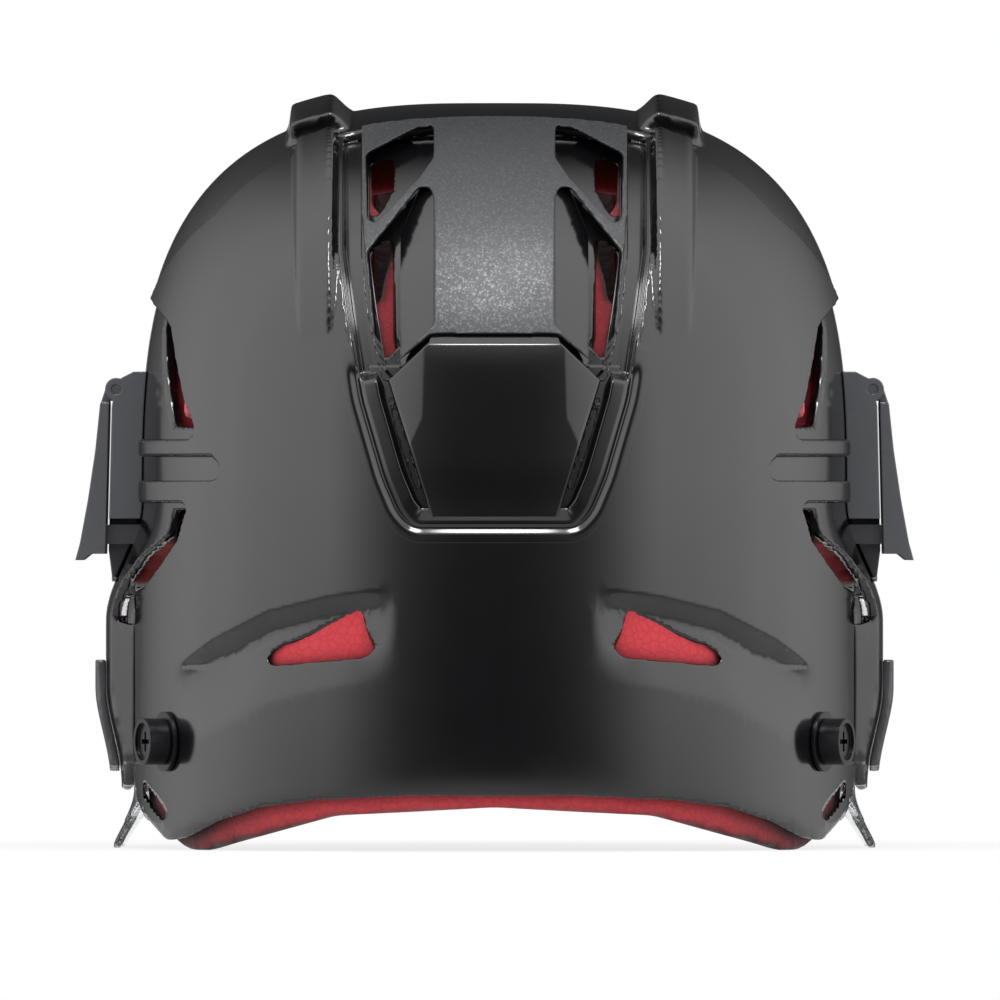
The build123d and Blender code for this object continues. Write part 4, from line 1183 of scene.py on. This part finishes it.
@dataclass
class Studio:
    """Pale floor, white background, soft panels and the camera of the photograph.

    The panels are parts of the world that only gloss shows. Spans of theirs are shares of a direction along one axis.
    """

    pixel: float = 0.255
    centre_pixel: float = 494.5
    floor_pixel: float = 848.0
    image: float = 1000.0
    lens: float = 1300.0
    sensor: float = 36.0
    stand_off: float = 0.02
    clip_reach: float = 4.0
    side_levels: Sequence[Span] = ((-1.0, 0.12), (-0.93, 0.5), (-0.85, 1.2), (-0.75, 2.0), (-0.65, 2.5),
                                   (-0.45, 2.5), (-0.25, 2.5), (0.15, 2.3), (0.5, 1.6), (0.75, 0.8), (0.92, 0.2),
                                   (1.0, 0.04))
    low_span: Span = (-0.25, 0.03)
    low_levels: Span = (0.35, 1.0)
    above_height: Span = (0.5, 0.8)
    above_depth: Span = (0.75, 0.1)
    above_light: float = 2.0
    strip_side: Span = (0.16, 0.12)
    strip_ends: Sequence[tuple[str, Span]] = (("Z", (0.8, 0.84)), ("Z", (0.96, 0.93)), ("Y", (0.0, -0.1)))
    strip_light: float = 30.0
    behind_depth: Span = (0.996, 0.999)
    behind_height: Span = (0.05, 0.02)
    room_light: float = 0.75
    floor_radius: float = 0.21
    floor_corners: int = 96
    floor_white: float = 0.8
    floor_colour: str = "#f2f2f2"
    lamp_places: Sequence[tuple[str, Sequence[float], float]] = (
        ("top_fill", (0.0, -0.5, 1.35), 5.0), ("left_fill", (-1.3, -0.9, 0.9), 9.0),
        ("right_fill", (1.3, -0.9, 0.9), 9.0))
    lamp_size: float = 0.9
    lamp_aim: Sequence[float] = (0.0, 0.0, 0.1)

    def build(self) -> None:
        """Set up the floor, the world, the lamps and the camera."""
        self.floor()
        self.world()
        self.lamps()
        self.camera()
        bpy.context.scene.view_settings.view_transform = "Standard"

    def floor(self) -> None:
        """Round pale floor that fades into the white background and keeps the helmet's shadow."""
        deselect()
        bpy.ops.mesh.primitive_circle_add(vertices=self.floor_corners, radius=self.floor_radius, fill_type="NGON")
        floor = bpy.context.object
        floor.name = "floor"
        material = bpy.data.materials.new("pale_floor_paint")
        material.use_nodes = True
        tree = material.node_tree
        tree.nodes.clear()
        rays = add(tree, "ShaderNodeLightPath", {}).outputs
        seen = calc(tree, "MAXIMUM", rays["Is Camera Ray"], rays["Is Glossy Ray"])
        seen = calc(tree, "MAXIMUM", seen, rays["Is Transmission Ray"])
        paint = add(tree, "ShaderNodeBsdfDiffuse", {"Color": linear(self.floor_colour)}).outputs["BSDF"]
        white = add(tree, "ShaderNodeEmission", {"Strength": 1.0}).outputs["Emission"]
        shares = {0: calc(tree, "MULTIPLY", seen, self.floor_white), 1: paint, 2: white}
        mixed = add(tree, "ShaderNodeMixShader", shares).outputs["Shader"]
        add(tree, "ShaderNodeOutputMaterial", {"Surface": mixed})
        floor.data.materials.append(material)

    def world(self) -> None:
        """White background, and soft panels that only gloss shows."""
        world = bpy.data.worlds.new("studio")
        bpy.context.scene.world = world
        world.use_nodes = True
        tree = world.node_tree
        tree.nodes.clear()
        rays = add(tree, "ShaderNodeLightPath", {}).outputs
        place = add(tree, "ShaderNodeTexCoord", {}).outputs["Generated"]
        towards = add(tree, "ShaderNodeSeparateXYZ", {0: place}).outputs
        gloss = self.panels(tree, towards)
        room = mix(tree, "FLOAT", rays["Is Glossy Ray"], self.room_light, gloss)
        seen = calc(tree, "MAXIMUM", rays["Is Camera Ray"], rays["Is Transmission Ray"])
        strength = mix(tree, "FLOAT", seen, room, 1.0)
        light = add(tree, "ShaderNodeBackground", {"Strength": strength, "Color": (1, 1, 1, 1)})
        add(tree, "ShaderNodeOutputWorld", {"Surface": light.outputs[0]})

    def panels(self, tree: Tree, towards: Any) -> Socket:
        """Add the panels: a curve round the sides, one above, a bright strip and the wall behind the helmet.

        Args:
            tree: The world's node tree.
            towards: Outputs with the direction along each axis.

        Returns:
            Socket of the light.
        """
        level = add(tree, "ShaderNodeCombineXYZ", {"X": towards["X"], "Y": towards["Y"]}).outputs[0]
        turn = add(tree, "ShaderNodeVectorMath", {0: level}, operation="NORMALIZE").outputs[0]
        facing = add(tree, "ShaderNodeSeparateXYZ", {0: turn}).outputs["Y"]
        sides = calc(tree, "MULTIPLY", self.curve(tree, facing),
                     step(tree, towards["Z"], self.low_span, self.low_levels))
        above = calc(tree, "MULTIPLY", step(tree, towards["Z"], self.above_height),
                     step(tree, towards["Y"], self.above_depth))
        lit = calc(tree, "MAXIMUM", sides, calc(tree, "MULTIPLY", above, self.above_light))
        strip = step(tree, calc(tree, "ABSOLUTE", towards["X"]), self.strip_side)
        for axis, ends in self.strip_ends:
            strip = calc(tree, "MULTIPLY", strip, step(tree, towards[axis], ends))
        bright = calc(tree, "MULTIPLY_ADD", strip, self.strip_light, lit)
        behind = calc(tree, "MULTIPLY", step(tree, towards["Y"], self.behind_depth),
                      step(tree, calc(tree, "ABSOLUTE", towards["Z"]), self.behind_height))
        return mix(tree, "FLOAT", behind, bright, 1.0)

    def curve(self, tree: Tree, value: Socket) -> Socket:
        """Add the curve through the side levels.

        Args:
            tree: Node tree that gets the node.
            value: The value, from minus one to one.

        Returns:
            Socket of the level.
        """
        node = add(tree, "ShaderNodeFloatCurve", {"Value": value})
        line = node.mapping.curves[0]
        node.mapping.use_clip = False
        line.points[0].location, line.points[1].location = self.side_levels[0], self.side_levels[-1]
        for stop in self.side_levels[1:-1]:
            line.points.new(*stop)
        for point in line.points:
            point.handle_type = "VECTOR"
        node.mapping.extend = "HORIZONTAL"
        node.mapping.update()
        return node.outputs["Value"]

    def lamps(self) -> None:
        """Three soft lamps that gloss doesn't show."""
        for name, place, power in self.lamp_places:
            data = bpy.data.lights.new(name, "AREA")
            data.shape, data.size, data.energy = "SQUARE", self.lamp_size, power
            lamp = bpy.data.objects.new(name, data)
            bpy.context.scene.collection.objects.link(lamp)
            lamp.location = place
            lamp.rotation_euler = (Vector(self.lamp_aim) - Vector(place)).to_track_quat("-Z", "Y").to_euler()
            lamp.visible_glossy = False

    def camera(self) -> None:
        """Level camera far behind the helmet, framed as the photograph is."""
        data = bpy.data.cameras.new("camera")
        data.lens, data.sensor_width = self.lens, self.sensor
        distance = self.image * self.pixel * MM * self.lens / self.sensor
        data.clip_end = self.clip_reach * distance
        camera = bpy.data.objects.new("camera", data)
        bpy.context.scene.collection.objects.link(camera)
        across = (self.image / 2 - self.centre_pixel) * self.pixel * MM
        up = (self.floor_pixel - self.image / 2) * self.pixel * MM
        camera.location = (across, -distance - self.stand_off, up)
        camera.rotation_euler = (math.radians(90), 0, 0)
        bpy.context.scene.camera = camera


def main() -> None:
    """Build every sub-assembly in order and report each piece."""
    logging.basicConfig(level=logging.INFO, format="%(name)s: %(message)s")
    for assembly in (RearShell, ChannelTrim, FrontShell, ThinParts, Linings, Hardware, Studio):
        assembly().build()


if __name__ == "__main__":
    main()
